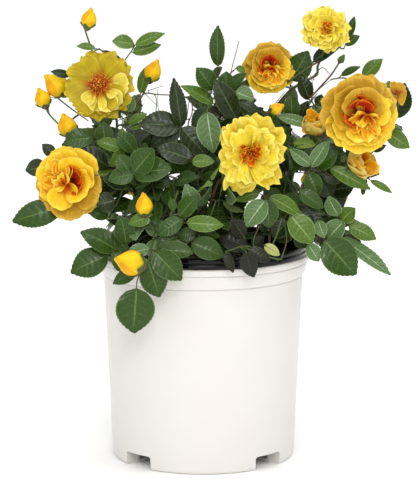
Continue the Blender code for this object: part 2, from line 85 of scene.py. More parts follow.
class Pattern:
    """Lays out the pattern nodes of one node tree."""

    def __init__(self, tree):
        self.tree = tree

    def give(self, node, sockets):
        """Set or join a node's sockets, by name or by number."""
        for socket, value in sockets.items():
            if isinstance(value, bpy.types.NodeSocket):
                self.tree.links.new(value, node.inputs[socket])
            else:
                node.inputs[socket].default_value = value

    def node(self, kind, sockets, **options):
        made = self.tree.nodes.new("ShaderNode" + kind)
        for option, value in options.items():
            setattr(made, option, value)
        self.give(made, sockets)
        return made

    def sums(self, operation, *values):
        """One step of arithmetic on numbers or sockets."""
        return self.node("Math", dict(enumerate(values)), operation=operation).outputs[0]

    def share(self, value, low, high, least=0.0, most=1.0):
        """Where a value lies between low and high, eased, and scaled from least to most."""
        sockets = {"Value": value, "From Min": low, "From Max": high, "To Min": least, "To Max": most}
        return self.node("MapRange", sockets, interpolation_type="SMOOTHSTEP").outputs[0]

    def blend(self, share, first, second, way="MIX"):
        sockets = {0: share, 6: first, 7: second}
        return self.node("Mix", sockets, data_type="RGBA", blend_type=way).outputs[2]

    def shaded(self, colour, share):
        """A colour made darker or lighter by a share."""
        grey = self.node("CombineXYZ", {0: share, 1: share, 2: share}).outputs[0]
        return self.blend(1.0, colour, grey, "MULTIPLY")

    def steps(self, value, colours):
        """Picks one of the colours by a value from 0 to 1, with no blending between them."""
        picker = self.node("ValToRGB", {0: value})
        ramp = picker.color_ramp
        ramp.interpolation = "CONSTANT"
        for k, colour in enumerate(colours):
            stop = ramp.elements[k] if k < 2 else ramp.elements.new(k / len(colours))
            stop.position = k / len(colours)
            stop.color = colour
        return picker.outputs[0]

    def place(self):
        """A point's place on the object, in metres."""
        return self.node("TexCoord", {}).outputs["Object"]

    def grain(self, scale, detail=2.0, place=None, roughness=0.5):
        """Cloudy grain, so many times to the metre."""
        sockets = {"Scale": scale, "Detail": detail, "Roughness": roughness}
        sockets["Vector"] = self.place() if place is None else place
        return self.node("TexNoise", sockets).outputs[0]

    def mottle(self, scale, detail, low, high, least=0.0, most=1.0, place=None):
        """Cloudy grain, eased between low and high, and scaled from least to most."""
        return self.share(self.grain(scale, detail, place), low, high, least, most)


class Finish(Pattern):
    """A surface finish: one glossy shader in a plain colour, and the pattern laid over it."""

    def __init__(self, name, colour, roughness):
        self.material = bpy.data.materials.new(name)
        self.material.use_nodes = True
        super().__init__(self.material.node_tree)
        self.shader = self.tree.nodes["Principled BSDF"]
        self.wear({"Base Color": colour, "Roughness": roughness})

    def wear(self, sockets):
        """Sets or joins sockets of the shader itself."""
        self.give(self.shader, sockets)

    def relief(self, height, depth, strength=1.0):
        """Raises the surface's shading by a height pattern of so many millimetres."""
        bump = self.node("Bump", {"Height": height, "Distance": depth * MM, "Strength": strength})
        self.wear({"Normal": bump.outputs[0]})


def build_mesh(name, points, faces):
    """A mesh from points in millimetres and blocks of faces that have the same number of corners."""
    mesh = bpy.data.meshes.new(name)
    corners = np.concatenate([np.asarray(block).ravel() for block in faces]).astype(np.int32)
    sizes = np.concatenate([np.full(len(block), len(block[0])) for block in faces])
    mesh.vertices.add(len(points))
    mesh.vertices.foreach_set("co", (np.asarray(points) * MM).astype(np.float32).ravel())
    mesh.loops.add(len(corners))
    mesh.loops.foreach_set("vertex_index", corners)
    mesh.polygons.add(len(sizes))
    mesh.polygons.foreach_set("loop_start", (np.cumsum(sizes) - sizes).astype(np.int32))
    mesh.update(calc_edges=True)
    return mesh


def fit(piece, stands_for=(), crease=40):
    """Smooths a piece up to its creases, and fixes it to the pot's body."""
    piece.data.shade_smooth()
    piece.data.set_sharp_from_angle(angle=math.radians(crease))
    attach(piece, "root")
    if stands_for:
        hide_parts(*stands_for)


def eased(corners, steps=5):
    """A profile through (radius, height, easing) corners, each rounded off over its easing."""
    line = []
    for k, (radius, height, easing) in enumerate(corners):
        here = np.array((radius, height), float)
        if not easing:
            line.append(here)
            continue
        before, after = (np.array(corners[k + step][:2], float) for step in (-1, 1))
        start = here + (before - here) / np.linalg.norm(before - here) * easing
        end = here + (after - here) / np.linalg.norm(after - here) * easing
        for t in np.linspace(0, 1, steps + 1):
            line.append((1 - t) ** 2 * start + 2 * t * (1 - t) * here + t * t * end)
    return line


def lathe(profile, sides=POT_SIDES):
    """Points and faces of a profile turned about the pot's axis, from axis to axis."""
    turn = np.arange(sides) * math.tau / sides
    points, rings = [], []
    for radius, height in profile:
        rings.append((len(points), radius > 0))
        if radius > 0:
            points += [(radius * math.cos(a), radius * math.sin(a), height) for a in turn]
        else:
            points.append((0, 0, height))
    quads, fans = [], []
    here = np.arange(sides)
    following = (here + 1) % sides
    for (low, low_ring), (high, high_ring) in zip(rings, rings[1:]):
        if low_ring and high_ring:
            quads.append(np.stack([low + here, low + following, high + following, high + here], 1))
        elif high_ring:
            fans.append(np.stack([np.full(sides, low), high + following, high + here], 1))
        else:
            fans.append(np.stack([low + here, low + following, np.full(sides, high)], 1))
    return points, [np.concatenate(quads), np.concatenate(fans)]


def pot_radius(height):
    return FOOT_RADIUS + WALL_TAPER * height


pocket_turns = [math.radians(degrees) for degrees in POCKET_TURNS]


def wedges(name, near, far, width, low, high, rounding=0.0):
    """A cutting block at each pocket, that points away from the pot's axis, its edges rounded."""
    blocks = []
    for turn in pocket_turns:
        out, middle = (near + far) / 2, (low + high) / 2
        place = (out * math.cos(turn), out * math.sin(turn), middle)
        bpy.ops.mesh.primitive_cube_add(size=1, location=[MM * v for v in place], rotation=(0, 0, turn))
        block = bpy.context.object
        block.name = name
        block.scale = ((far - near) * MM, width * MM, (high - low) * MM)
        bpy.ops.object.transform_apply(location=True, rotation=True, scale=True)
        if rounding:
            bevel = block.modifiers.new("rounding", "BEVEL")
            bevel.width = rounding * MM
            bevel.segments = 4
            bpy.ops.object.modifier_apply(modifier=bevel.name)
        blocks.append(block)
    return blocks


def carve(piece, cutters):
    """Cuts each cutter out of a piece, and drops the cutter."""
    for cutter in cutters:
        cut = piece.modifiers.new("cut", "BOOLEAN")
        cut.operation = "DIFFERENCE"
        cut.object = cutter
        with bpy.context.temp_override(object=piece, active_object=piece, selected_objects=[piece]):
            bpy.ops.object.modifier_apply(modifier=cut.name)
        bpy.data.objects.remove(cutter)


under_collar = pot_radius(COLLAR_BOTTOM)
pot_outside = eased([
    (0, 0, 0), (FOOT_RADIUS, 0, FOOT_ROUNDING),
    (under_collar, COLLAR_BOTTOM - 1.2, 0.2), (under_collar - 0.7, COLLAR_BOTTOM - 0.3, 0.2),
    (under_collar + 1.4, COLLAR_BOTTOM + 0.3, 0.4),
    (COLLAR_RADIUS - 0.6, COLLAR_BOTTOM + 4.8, 1.8), (COLLAR_RADIUS, COLLAR_BOTTOM + 8.0, 1.5),
    (COLLAR_RADIUS, RIM_BOTTOM - 1.3, 0.2), (COLLAR_RADIUS - 0.8, RIM_BOTTOM - 0.5, 0.2),
    (RIM_RADIUS - 0.2, RIM_BOTTOM + 0.4, 0.4),
    (RIM_RADIUS, RIM_BOTTOM + 2.4, 0.8), (RIM_RADIUS - 0.4, RIM_TOP - 0.7, 0.6),
    (RIM_RADIUS - 1.5, RIM_TOP, 0.4), (0, RIM_TOP, 0)])
pot_hollow = eased([(0, POT_FLOOR, 0), (pot_radius(POT_FLOOR) - WALL, POT_FLOOR, 1.5),
                    (pot_radius(RIM_TOP + 5) - WALL, RIM_TOP + 5, 0), (0, RIM_TOP + 5, 0)])

white_plastic = Finish("white pot plastic", paint(224, 221, 216), 0.34)
cloud = white_plastic.grain(14, 2)
white_plastic.wear({
    "Base Color": white_plastic.blend(cloud, paint(222, 219, 215), paint(215, 211, 205)),
    "Roughness": white_plastic.mottle(220, 3, 0.3, 0.7, 0.30, 0.40)})
white_plastic.relief(white_plastic.grain(900, 2), 0.03, 0.35)

pot_wall = bpy.data.objects.new("pot_wall", build_mesh("pot_wall", *lathe(pot_outside)))
hollow = bpy.data.objects.new("hollow", build_mesh("hollow", *lathe(pot_hollow)))
for turned_piece in (pot_wall, hollow):
    bpy.context.scene.collection.objects.link(turned_piece)
carve(hollow, wedges("housing", POCKET_BACK - POCKET_WALL, OUTSIDE, POCKET_WIDTH + 2 * POCKET_WALL,
                     -5, POCKET_HEIGHT + POCKET_WALL))
carve(pot_wall, [hollow])
carve(pot_wall, wedges("pocket", POCKET_BACK, OUTSIDE, POCKET_WIDTH, -8, POCKET_HEIGHT, POCKET_ROUNDING))
carve(pot_wall, wedges("slot", POCKET_BACK - SLOT_REACH, POCKET_BACK + 1, SLOT_WIDTH, -1,
                       POCKET_HEIGHT - 0.3))
pot_wall.data.materials.clear()
pot_wall.data.materials.append(white_plastic.material)
fit(pot_wall, ["outer_pot"], 32)

# ---------------------------------------------------------------------------------------------
# Inner pot: the thin black grower's pot that the bush was raised in, dropped into the white one.
# Only its lip shows, two rolled beads of glossy black plastic that sit on the white rim.
# ---------------------------------------------------------------------------------------------
LINER_GAP = 0.4
LINER_WALL = 1.6
LINER_FLOOR = 13.3
LIP_BOTTOM = 163.4
LIP_TOP = 171.4
LIP_RADIUS = 83.2
LIP_MIDDLE = (LIP_BOTTOM + LIP_TOP) / 2
LINER_DRAIN_CIRCLE = 42.0
LINER_DRAIN_RADIUS = 5.0
LINER_DRAIN_DEPTH = 12.0


def liner_radius(height):
    return pot_radius(height) - WALL - LINER_GAP


def add_piece(name, points, faces, finish, slot, stands_for=(), crease=40):
    """Makes a finished piece of the bush that moves with the pot."""
    piece = bpy.data.objects.new(name, build_mesh(name, points, faces))
    bpy.context.scene.collection.objects.link(piece)
    piece.data.materials.append(finish.material)
    fit(piece, stands_for, crease)
    return piece


liner_inside = liner_radius(LIP_BOTTOM) - LINER_WALL
liner_profile = eased([
    (0, LINER_FLOOR, 0), (liner_radius(LINER_FLOOR) - 0.5, LINER_FLOOR, 2.0),
    (liner_radius(LIP_BOTTOM), LIP_BOTTOM, 0.3), (LIP_RADIUS, LIP_BOTTOM, 1.1),
    (LIP_RADIUS, LIP_MIDDLE - 0.6, 1.0), (LIP_RADIUS - 1.0, LIP_MIDDLE, 0.4),
    (LIP_RADIUS - 0.3, LIP_MIDDLE + 0.7, 0.5), (LIP_RADIUS - 0.3, LIP_TOP, 1.5),
    (LIP_RADIUS - 4.3, LIP_TOP, 1.3), (liner_inside + 1.0, LIP_MIDDLE - 0.5, 1.5),
    (liner_inside - 0.8, LIP_BOTTOM - 20, 0),
    (liner_radius(LINER_FLOOR + 2) - LINER_WALL, LINER_FLOOR + 2, 1.5),
    (0, LINER_FLOOR + LINER_WALL, 0)])
black_plastic = Finish("black pot plastic", paint(8, 8, 10), 0.12)
black_plastic.wear({
    "Base Color": black_plastic.blend(black_plastic.mottle(30, 3, 0.4, 0.8),
                                      paint(6, 6, 8), paint(14, 14, 15)),
    "Specular IOR Level": 0.22,
    "Roughness": black_plastic.mottle(160, 4, 0.35, 0.7, 0.08, 0.16)})
black_plastic.relief(black_plastic.grain(700, 2), 0.04, 0.4)
inner_pot_lip = add_piece("inner_pot_lip", *lathe(liner_profile), black_plastic, "black_pot_plastic")
drains = []
for turn in pocket_turns:
    bpy.ops.mesh.primitive_cylinder_add(
        vertices=40, radius=LINER_DRAIN_RADIUS * MM, depth=LINER_DRAIN_DEPTH * MM,
        location=(LINER_DRAIN_CIRCLE * math.cos(turn) * MM, LINER_DRAIN_CIRCLE * math.sin(turn) * MM,
                  LINER_FLOOR * MM))
    drains.append(bpy.context.object)
carve(inner_pot_lip, drains)
fit(inner_pot_lip, ["inner_pot"], 32)

# ---------------------------------------------------------------------------------------------
# Potting mix: moist composted bark and peat, dark brown to almost black, pressed in by hand up
# to just below the lip. Loose bark chips lie all over it.
# ---------------------------------------------------------------------------------------------
SOIL_LEVEL = 160.0
SOIL_RADIUS = 74.6
SOIL_FOOT_RADIUS = 68.6
SOIL_BOTTOM = 15.4
SOIL_RINGS = 52
CHIP_COUNT = 1500
CHIP_REACH = 71.0            # how far from the middle a chip may lie
CHIP_CORNERS = 12


def waves(points, scale, seed, count=9):
    """Smooth uneven relief from -1 to 1 over any points: crossed waves about `scale` apart."""
    chance = np.random.default_rng(seed)
    points = np.asarray(points, float)
    total = np.zeros(points.shape[:-1])
    for _ in range(count):
        way = chance.normal(size=3)
        way *= math.tau / (scale * chance.uniform(0.7, 1.5)) / np.linalg.norm(way)
        total += np.sin(points @ way + chance.uniform(0, math.tau))
    return total / math.sqrt(count) / 1.5


def soil_height(across, along):
    """The height of the mix, which dips a little towards the lip."""
    spots = np.stack([across, along, np.zeros_like(across)], -1)
    radius = np.hypot(across, along)
    calm = np.clip((radius - 13) / 8, 0, 1)
    heaps = 1.1 * waves(spots, 21, 11) + 0.5 * waves(spots, 6, 12)
    return SOIL_LEVEL + calm * heaps - 1.5 * (radius / SOIL_RADIUS) ** 6


soil_profile = [(0, SOIL_BOTTOM), (SOIL_FOOT_RADIUS, SOIL_BOTTOM), (SOIL_RADIUS - 0.8, SOIL_LEVEL - 4)]
soil_profile += [(SOIL_RADIUS * (1 - k / SOIL_RINGS), SOIL_LEVEL - 1.2) for k in range(SOIL_RINGS)]
soil_points, soil_faces = lathe(soil_profile + [(0, SOIL_LEVEL)], 150)
soil_points = np.array(soil_points, float)
top = soil_points[:, 2] > SOIL_LEVEL - 2
soil_points[top, 2] = soil_height(soil_points[top, 0], soil_points[top, 1])


def soil_finish(name, dark, pale, tan):
    """Moist bark: dark and pale brown flecks, and a few tan ones."""
    finish = Finish(name, dark, 0.9)
    flecks = finish.node("TexVoronoi", {"Vector": finish.place(), "Scale": 420.0}).outputs["Color"]
    brown = finish.blend(finish.mottle(300, 4, 0.4, 0.62), dark, pale)
    brown = finish.blend(finish.share(flecks, 0.82, 0.95), brown, tan)
    finish.wear({"Base Color": brown, "Roughness": finish.mottle(150, 2, 0.3, 0.7, 0.62, 0.95)})
    finish.relief(finish.grain(650, 5), 0.5, 0.8)
    return finish


mix_finish = soil_finish("potting mix", paint(30, 23, 18), paint(58, 43, 32), paint(96, 74, 54))
add_piece("bark_mix", soil_points, soil_faces, mix_finish, "potting_mix", ["potting_mix"], 70)


def turned_about_axis(points, turn):
    cosine, sine = math.cos(turn), math.sin(turn)
    return points @ np.array(((cosine, sine, 0), (-sine, cosine, 0), (0, 0, 1)))


# A chip is a block of twelve points, squashed and chipped unevenly.
GOLDEN = (1 + math.sqrt(5)) / 2
chip_points = np.array([(a, b * GOLDEN, 0) for a in (-1, 1) for b in (-1, 1)]
                       + [(0, a, b * GOLDEN) for a in (-1, 1) for b in (-1, 1)]
                       + [(b * GOLDEN, 0, a) for a in (-1, 1) for b in (-1, 1)]) / 1.9
chip_faces = []
for a in range(CHIP_CORNERS):
    for b in range(a + 1, CHIP_CORNERS):
        for c in range(b + 1, CHIP_CORNERS):
            corners = chip_points[[a, b, c]]
            edges = np.linalg.norm(corners - np.roll(corners, 1, 0), axis=1)
            if edges.max() < 1.2:
                outwards = np.cross(corners[1] - corners[0], corners[2] - corners[0]) @ corners.sum(0) > 0
                chip_faces.append((a, b, c) if outwards else (a, c, b))
chance = np.random.default_rng(21)
chips, chip_corners = [], []
for k in range(CHIP_COUNT):
    turn, away = chance.uniform(0, math.tau), (CHIP_REACH + 1) * math.sqrt(chance.uniform(0.045, 1))
    size = chance.uniform(1.0, 2.1) * np.array((chance.uniform(1.0, 2.3), chance.uniform(0.6, 1.1), 0.5))
    shape = chip_points * (1 + 0.22 * chance.normal(size=(CHIP_CORNERS, 1))) * size
    tilt, spin = chance.normal(0, 0.35, 2), chance.uniform(0, math.tau)
    shape[:, 2] += shape[:, 0] * tilt[0] + shape[:, 1] * tilt[1]
    shape = turned_about_axis(shape, spin)
    away = min(away, CHIP_REACH)
    x, y = away * math.cos(turn), away * math.sin(turn)
    chips.append(shape + (x, y, soil_height(np.array(x), np.array(y)) + 0.25))
    chip_corners.append(np.array(chip_faces) + CHIP_CORNERS * k)
chip_finish = soil_finish("bark chips", paint(38, 28, 21), paint(74, 55, 40), paint(112, 88, 64))
add_piece("bark_chips", np.concatenate(chips), [np.concatenate(chip_corners)], chip_finish, "potting_mix",
          crease=25)

# ---------------------------------------------------------------------------------------------
# Main stem: the short woody stock that every cane springs from. Its brown bark is ridged and
# cracked lengthwise, flares at the mix, and swells into a knuckle under the canes.
# ---------------------------------------------------------------------------------------------
STEM_FOOT = SOIL_LEVEL + 0.3
STEM_TOP = 181.0
STEM_FLARE_RADIUS = 13.0
STEM_NECK_RADIUS = 7.5
STEM_LEAN = np.array((1.5, -2.0, 0))


class Tubes:
    """Gathers tapered tubes that follow a line, each closed at both ends, into one mesh."""

    def __init__(self):
        self.points, self.quads, self.ends, self.count = [], [], {}, 0

    def add(self, line, radii, sides=6, uneven=None):
        """One tube. `uneven` gives the share by which each point stands out, ring by ring."""
        line = np.asarray(line, float)
        rings = len(line)
        radii = np.broadcast_to(radii, rings).astype(float)
        along = np.gradient(line, axis=0)
        along /= np.linalg.norm(along, axis=1)[:, None]
        across = np.cross(along[0], (0.31, 0.17, 0.93) if abs(along[0][2]) < 0.9 else (1, 0, 0))
        frames = np.empty((rings, 2, 3))
        for k in range(rings):
            across = across - (across @ along[k]) * along[k]
            across /= np.linalg.norm(across)
            frames[k] = across, np.cross(along[k], across)
        turn = np.arange(sides) * math.tau / sides
        ring = np.stack([np.cos(turn), np.sin(turn)], 1) @ frames
        reach = np.broadcast_to(radii[:, None] * (1 if uneven is None else 1 + uneven), (rings, sides))
        self.points.append((line[:, None] + ring * reach[..., None]).reshape(-1, 3))
        here = np.arange(sides)
        row = np.stack([here, (here + 1) % sides, (here + 1) % sides + sides, here + sides], 1)
        rows = row[None] + sides * np.arange(rings - 1)[:, None, None]
        self.quads.append(rows.reshape(-1, 4) + self.count)
        caps = self.ends.setdefault(sides, [])
        caps.append(here[::-1] + self.count)
        caps.append(here + self.count + sides * (rings - 1))
        self.count += rings * sides

    def piece(self, name, finish, slot, stands_for=(), crease=50):
        faces = [np.concatenate(self.quads)] + [np.array(caps) for caps in self.ends.values()]
        return add_piece(name, np.concatenate(self.points), faces, finish, slot, stands_for, crease)


def places_round(sides, radius):
    """Points spaced evenly round a circle, at no height."""
    turn = np.arange(sides) * math.tau / sides
    return np.stack([np.cos(turn), np.sin(turn), np.zeros(sides)], 1) * radius


STEM_RINGS = 44
STEM_SIDES = 72
up = np.linspace(0, 1, STEM_RINGS)
stem_line = np.stack([STEM_LEAN[0] * up, STEM_LEAN[1] * up, STEM_FOOT + (STEM_TOP - STEM_FOOT) * up], 1)
stem_radii = STEM_NECK_RADIUS + (STEM_FLARE_RADIUS - STEM_NECK_RADIUS) * (1 - up) ** 2.2
stem_radii += 0.9 * np.exp(-((up - 0.78) / 0.16) ** 2)
stem_radii[-3:] *= (0.9, 0.66, 0.3)
bark_places = places_round(STEM_SIDES, 9) + up[:, None, None] * np.array((0.5, 0.3, 6.0))
ridges = 0.07 * waves(bark_places, 4.5, 31) + 0.05 * waves(bark_places * (3.2, 3.2, 0.8), 4.5, 32)
stem_bark = Tubes()
stem_bark.add(stem_line, stem_radii, STEM_SIDES, ridges - 0.03)

bark = Finish("woody bark", paint(92, 72, 52), 0.85)
ridge_place = bark.node("Mapping", {"Vector": bark.place(), "Scale": (1.0, 1.0, 0.22)}).outputs[0]
crack = bark.grain(700, 5, ridge_place, 0.62)
bark_brown = bark.blend(bark.share(crack, 0.40, 0.62), paint(52, 39, 28), paint(126, 104, 76))
bark.wear({
    "Base Color": bark.blend(bark.mottle(120, 2, 0.5, 0.75), bark_brown, paint(92, 88, 56)),
    "Roughness": bark.share(crack, 0.3, 0.7, 0.95, 0.7)})
bark.relief(crack, 0.6, 0.9)
stem_bark.piece("stem_bark", bark, "woody_stem", ["main_stem"], 60)

# ---------------------------------------------------------------------------------------------
# Canes: eleven arching shoots that rise from the stock's knuckle. Old wood at the foot is brown,
# young wood green and satin, swollen at every node and set with small hooked prickles.
# ---------------------------------------------------------------------------------------------
LOW_FORK = 169.0
HIGH_FORK = 176.5
FORK_SPREAD = 4.5
CANE_FOOT_RADIUS = 2.4
CANE_TIP_RADIUS = 0.9
CANE_SIDES = 14
NODE_SPACING = 19.0
CANES = {
    "cane_left_low": (LOW_FORK, [(-34, -28, 177), (-60, -46, 175)], "leaves_left_low"),
    "cane_left_middle": (HIGH_FORK, [(-16, -15, 193), (-34, -30, 212)], "leaves_left_middle"),
    "cane_upper_left": (HIGH_FORK, [(-16, 2, 200), (-38, 6, 236), (-52, 0, 250)], "leaves_upper_left"),
    "cane_top": (STEM_TOP - 2, [(1, -1, 205), (0, 0, 236)], "leaves_top_centre"),
    "cane_centre": (HIGH_FORK, [(3, -18, 186), (4, -36, 200)], "leaves_centre"),
    "cane_right_middle": (HIGH_FORK, [(20, -7, 192), (44, -14, 217)], "leaves_right_middle"),
    "cane_right_low": (LOW_FORK, [(26, -26, 180), (50, -46, 186)], "leaves_right_low"),
    "cane_upper_right": (HIGH_FORK, [(18, 9, 200), (42, 20, 250), (66, 20, 286)], "leaves_upper_right"),
    "cane_back_left": (LOW_FORK, [(-17, 17, 196), (-38, 38, 220)], "leaves_back_left"),
    "cane_back": (HIGH_FORK, [(-2, 20, 194), (0, 46, 216)], "leaves_back"),
    "cane_back_right": (LOW_FORK, [(20, 18, 192), (44, 38, 212)], "leaves_back_right"),
}


def curve(points, steps):
    """A smooth line through points, with so many steps between one and the next."""
    points = [np.asarray(p, float) for p in points]
    held = [2 * points[0] - points[1]] + points + [2 * points[-1] - points[-2]]
    line = []
    for a, b, c, d in zip(held, held[1:], held[2:], held[3:]):
        for t in np.arange(steps) / steps:
            line.append(0.5 * (2 * b + (c - a) * t + (2 * a - 5 * b + 4 * c - d) * t * t
                               + (3 * b - a - 3 * c + d) * t ** 3))
    return np.array(line + [points[-1]])


def unit(vector):
    """A vector's own way, made one long."""
    vector = np.asarray(vector, float)
    return vector / max(1e-9, np.linalg.norm(vector))


def middle(node):
    """The middle of a CAD node, and half its size along each axis."""
    low, high = (np.array(corner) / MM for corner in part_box(node))
    return (low + high) / 2, (high - low) / 2


class Wood:
    """Remembers every limb grown so far, so that new growth starts on the nearest one."""

    def __init__(self):
        self.points, self.ways, self.radii = np.empty((0, 3)), np.empty((0, 3)), np.empty(0)

    def remember(self, line, radii):
        self.points = np.concatenate([self.points, line])
        self.ways = np.concatenate([self.ways, np.gradient(line, axis=0)])
        self.radii = np.concatenate([self.radii, np.broadcast_to(radii, len(line))])

    def nearest(self, place):
        """The best limb point to branch from: near, and not beyond the place it has to reach."""
        gap = place - self.points
        apart = np.linalg.norm(gap, axis=1) + 1e-6
        ways = self.ways / (np.linalg.norm(self.ways, axis=1)[:, None] + 1e-6)
        turned = (gap * ways).sum(1) / apart
        best = np.argmin(apart * (1.35 - 0.35 * turned))
        return self.points[best], ways[best], self.radii[best]


wood = Wood()
cane_tubes = Tubes()
cane_lines = {}
for name, (fork, bends, mass) in CANES.items():
    root = np.array((STEM_LEAN[0], STEM_LEAN[1], fork))
    out = (np.array(bends[0]) - root) * (1, 1, 0)
    root = root + min(FORK_SPREAD, 0.3 * np.linalg.norm(out)) * unit(out)
    goal = np.array(bends[-1]) + 0.75 * (middle(mass)[0] - bends[-1])
    line = curve([root] + bends + [goal], 14)
    run = np.concatenate([[0], np.cumsum(np.linalg.norm(np.diff(line, axis=0), axis=1))])
    radii = np.interp(run / run[-1], (0, 1), (CANE_FOOT_RADIUS, CANE_TIP_RADIUS))
    knuckle = np.exp(-(((run + 6) % NODE_SPACING - NODE_SPACING / 2) / 1.6) ** 2)
    rough_places = places_round(CANE_SIDES, 3) + run[:, None, None] * np.array((0.02, 0.03, 0.25))
    rough = 0.05 * waves(rough_places, 3.0, 33)
    cane_tubes.add(line, radii * (1 + 0.16 * knuckle), CANE_SIDES, rough)
    wood.remember(line, radii)
    cane_lines[name] = line

cane_green = Finish("green cane", paint(92, 104, 52), 0.5)
height = cane_green.node("SeparateXYZ", {0: cane_green.place()}).outputs[2]
fibre = cane_green.grain(260, 4)
young = cane_green.blend(cane_green.share(fibre, 0.35, 0.7), paint(58, 74, 34), paint(92, 106, 52))
old = cane_green.blend(cane_green.share(fibre, 0.4, 0.65), paint(48, 38, 26), paint(88, 74, 50))
uneven_height = cane_green.sums("ADD", height, cane_green.sums("MULTIPLY", fibre, 0.02))
ripe = cane_green.share(uneven_height, 0.182, 0.222)
red_side = cane_green.mottle(45, 2, 0.55, 0.75, 0, 0.55)
cane_green.wear({
    "Base Color": cane_green.blend(red_side, cane_green.blend(ripe, old, young), paint(84, 52, 38)),
    "Roughness": cane_green.share(fibre, 0.3, 0.7, 0.42, 0.62)})
cane_green.relief(cane_green.grain(1500, 3), 0.12, 0.6)
cane_tubes.piece("cane_bark", cane_green, "green_cane", list(CANES))

# ---------------------------------------------------------------------------------------------
# Flower stalks: slim green shoots, red on their sunny side, that carry the roses and the buds.
# Each swells under its rose into a smooth green hip.
# ---------------------------------------------------------------------------------------------
HIP_PLACE = 0.27             # a hip's distance behind its rose's middle, as a share of the width
EYE = np.array((4.57, -1800.0, 482.1))   # where the bush is looked at from
BLOOMS = {
    "bloom_upper_left": ((-81, -30, 299), (57, 55), (-0.15, -0.95, 0.22)),
    "bloom_top": ((52, 0, 310), (42, 42), (0.05, -0.92, 0.25)),
    "bloom_top_right": ((95, -20, 342.5), (39, 37), (0.0, -0.80, 0.50)),
    "bloom_right": ((120, -60, 280), (61, 60), (0.15, -0.95, 0.10)),
    "bloom_centre": ((36, -88, 253), (50, 66), (0.10, -0.95, 0.12)),
    "bloom_left": ((-103, -60, 227), (54, 57), (-0.18, -0.95, 0.08)),
    "bloom_back_left": ((-62, 114, 214), (50, 48), (-0.30, 0.90, 0.30)),
    "bloom_back": ((26, 124, 226), (54, 52), (0.10, 0.92, 0.35)),
    "bloom_back_right": ((104, 96, 204), (46, 46), (0.60, 0.75, 0.22)),
    "half_open_right": ((88.5, -20, 265), (20, 20), (-0.16, -0.38, 0.91)),
    "half_open_low": ((121, -32, 240), (26, 23), (0.72, -0.60, 0.35)),
    "faded_right": ((150, -20, 291), (17, 18), (0.55, -0.80, 0.25)),
}
FLOWER_STALKS = {
    "stem_upper_left": ((-68, -6, 270), (-74, -6, 284), "bloom_upper_left"),
    "stem_top": ((12, 4, 284), (34, 10, 298), "bloom_top"),
    "stem_top_right": ((90, 6, 310), (95, -2, 324), "bloom_top_right"),
    "stem_right": ((92, -26, 256), (108, -34, 270), "bloom_right"),
    "stem_centre": ((12, -62, 228), (26, -66, 243), "bloom_centre"),
    "stem_left": ((-66, -46, 228), (-88, -42, 229), "bloom_left"),
    "stem_back_left": ((-66, 76, 232), (-64, 92, 224), "bloom_back_left"),
    "stem_back": ((10, 86, 244), (20, 102, 236), "bloom_back"),
    "stem_back_right": ((86, 70, 228), (96, 82, 216), "bloom_back_right"),
    "half_stalk_right": ((86, -12, 240), (88, -16, 248), "half_open_right"),
    "half_stalk_low": ((100, -20, 226), (110, -26, 234), "half_open_low"),
    "faded_stalk": ((138, -10, 272), (146, -14, 282), "faded_right"),
}
# Buds: the stalk's start, its bend, the bud's tip, and its length and thickness.
BUDS = {
    "bud_top_left": ((-77, -6, 296), (-91, -8, 337), (-86.5, -14, 357), 17, 11.8),
    "bud_top_middle": ((-60, -6, 266), (-47, -8, 289), (-35, -14, 317), 19, 13),
    "bud_far_left": ((-84, -4, 266), (-101, 4, 282), (-124, -6, 304), 23, 17.5),
    "bud_outer_left": ((-112, -6, 264), (-121, -2, 273), (-129, -6, 294), 16.5, 12.5),
    "bud_front_left": ((-51, -88, 166), (-45, -107, 171), (-66, -116, 178), 24, 19),
    "bud_left": ((-96, -14, 248), (-103, -18, 256), (-109, -22, 276), 19.5, 15),
    "bud_middle_left": ((-46, -70, 194), (-44, -77, 203), (-45, -84, 223), 19.0, 12.6),
    "bud_between_roses": ((44, -34, 272), (47, -40, 277), (62, -46, 285), 12.5, 9.0),
    "hip_top_right": ((84, -4, 286), (99, -6, 303), (110, -8, 320), 7, 5),
}
STALK_RADIUS = 0.95
BUD_STALK_RADIUS = 0.65
TWIG_STEP = 3.5
TWIG_LEAST_STEPS = 6
TWIG_SIDES = 7


def bloom_parts(name):
    """A bloom's middle, its width and height, and the way it faces."""
    centre, (width, height), facing = BLOOMS[name]
    return np.array(centre, float), width, height, unit(facing)


def on_front_plane(points):
    """Where points fall on the upright plane through the pot's axis, for the eye."""
    points = np.asarray(points, float)
    return (EYE + (points - EYE) * (-EYE[1] / (points[..., 1:2] - EYE[1])))[..., [0, 2]]


class Front:
    """What already stands at the front: each thing's outline as an ellipse, and how deep it is."""

    def __init__(self):
        self.things = []

    def note(self, start, end, breadth, depth):
        """Something between two points of the front plane, so broad."""
        start, end = np.array(start, float), np.array(end, float)
        self.things.append((*(start + end) / 2, *unit(end - start), np.linalg.norm(end - start) / 2 + 0.5,
                            breadth / 2 + 0.5, depth))

    def set_back(self, points, clearance):
        """How far each of these points must move away from the eye to hide nothing noted here."""
        things = np.array(self.things)
        gap = on_front_plane(points)[:, None] - things[None, :, :2]
        along = (gap * things[None, :, 2:4]).sum(-1) / things[:, 4]
        across = (gap[..., 0] * things[:, 3] - gap[..., 1] * things[:, 2]) / things[:, 5]
        behind = things[None, :, 6] + clearance - points[:, None, 1]
        return np.maximum(np.where(along ** 2 + across ** 2 < 1, behind, 0).max(1), 0)


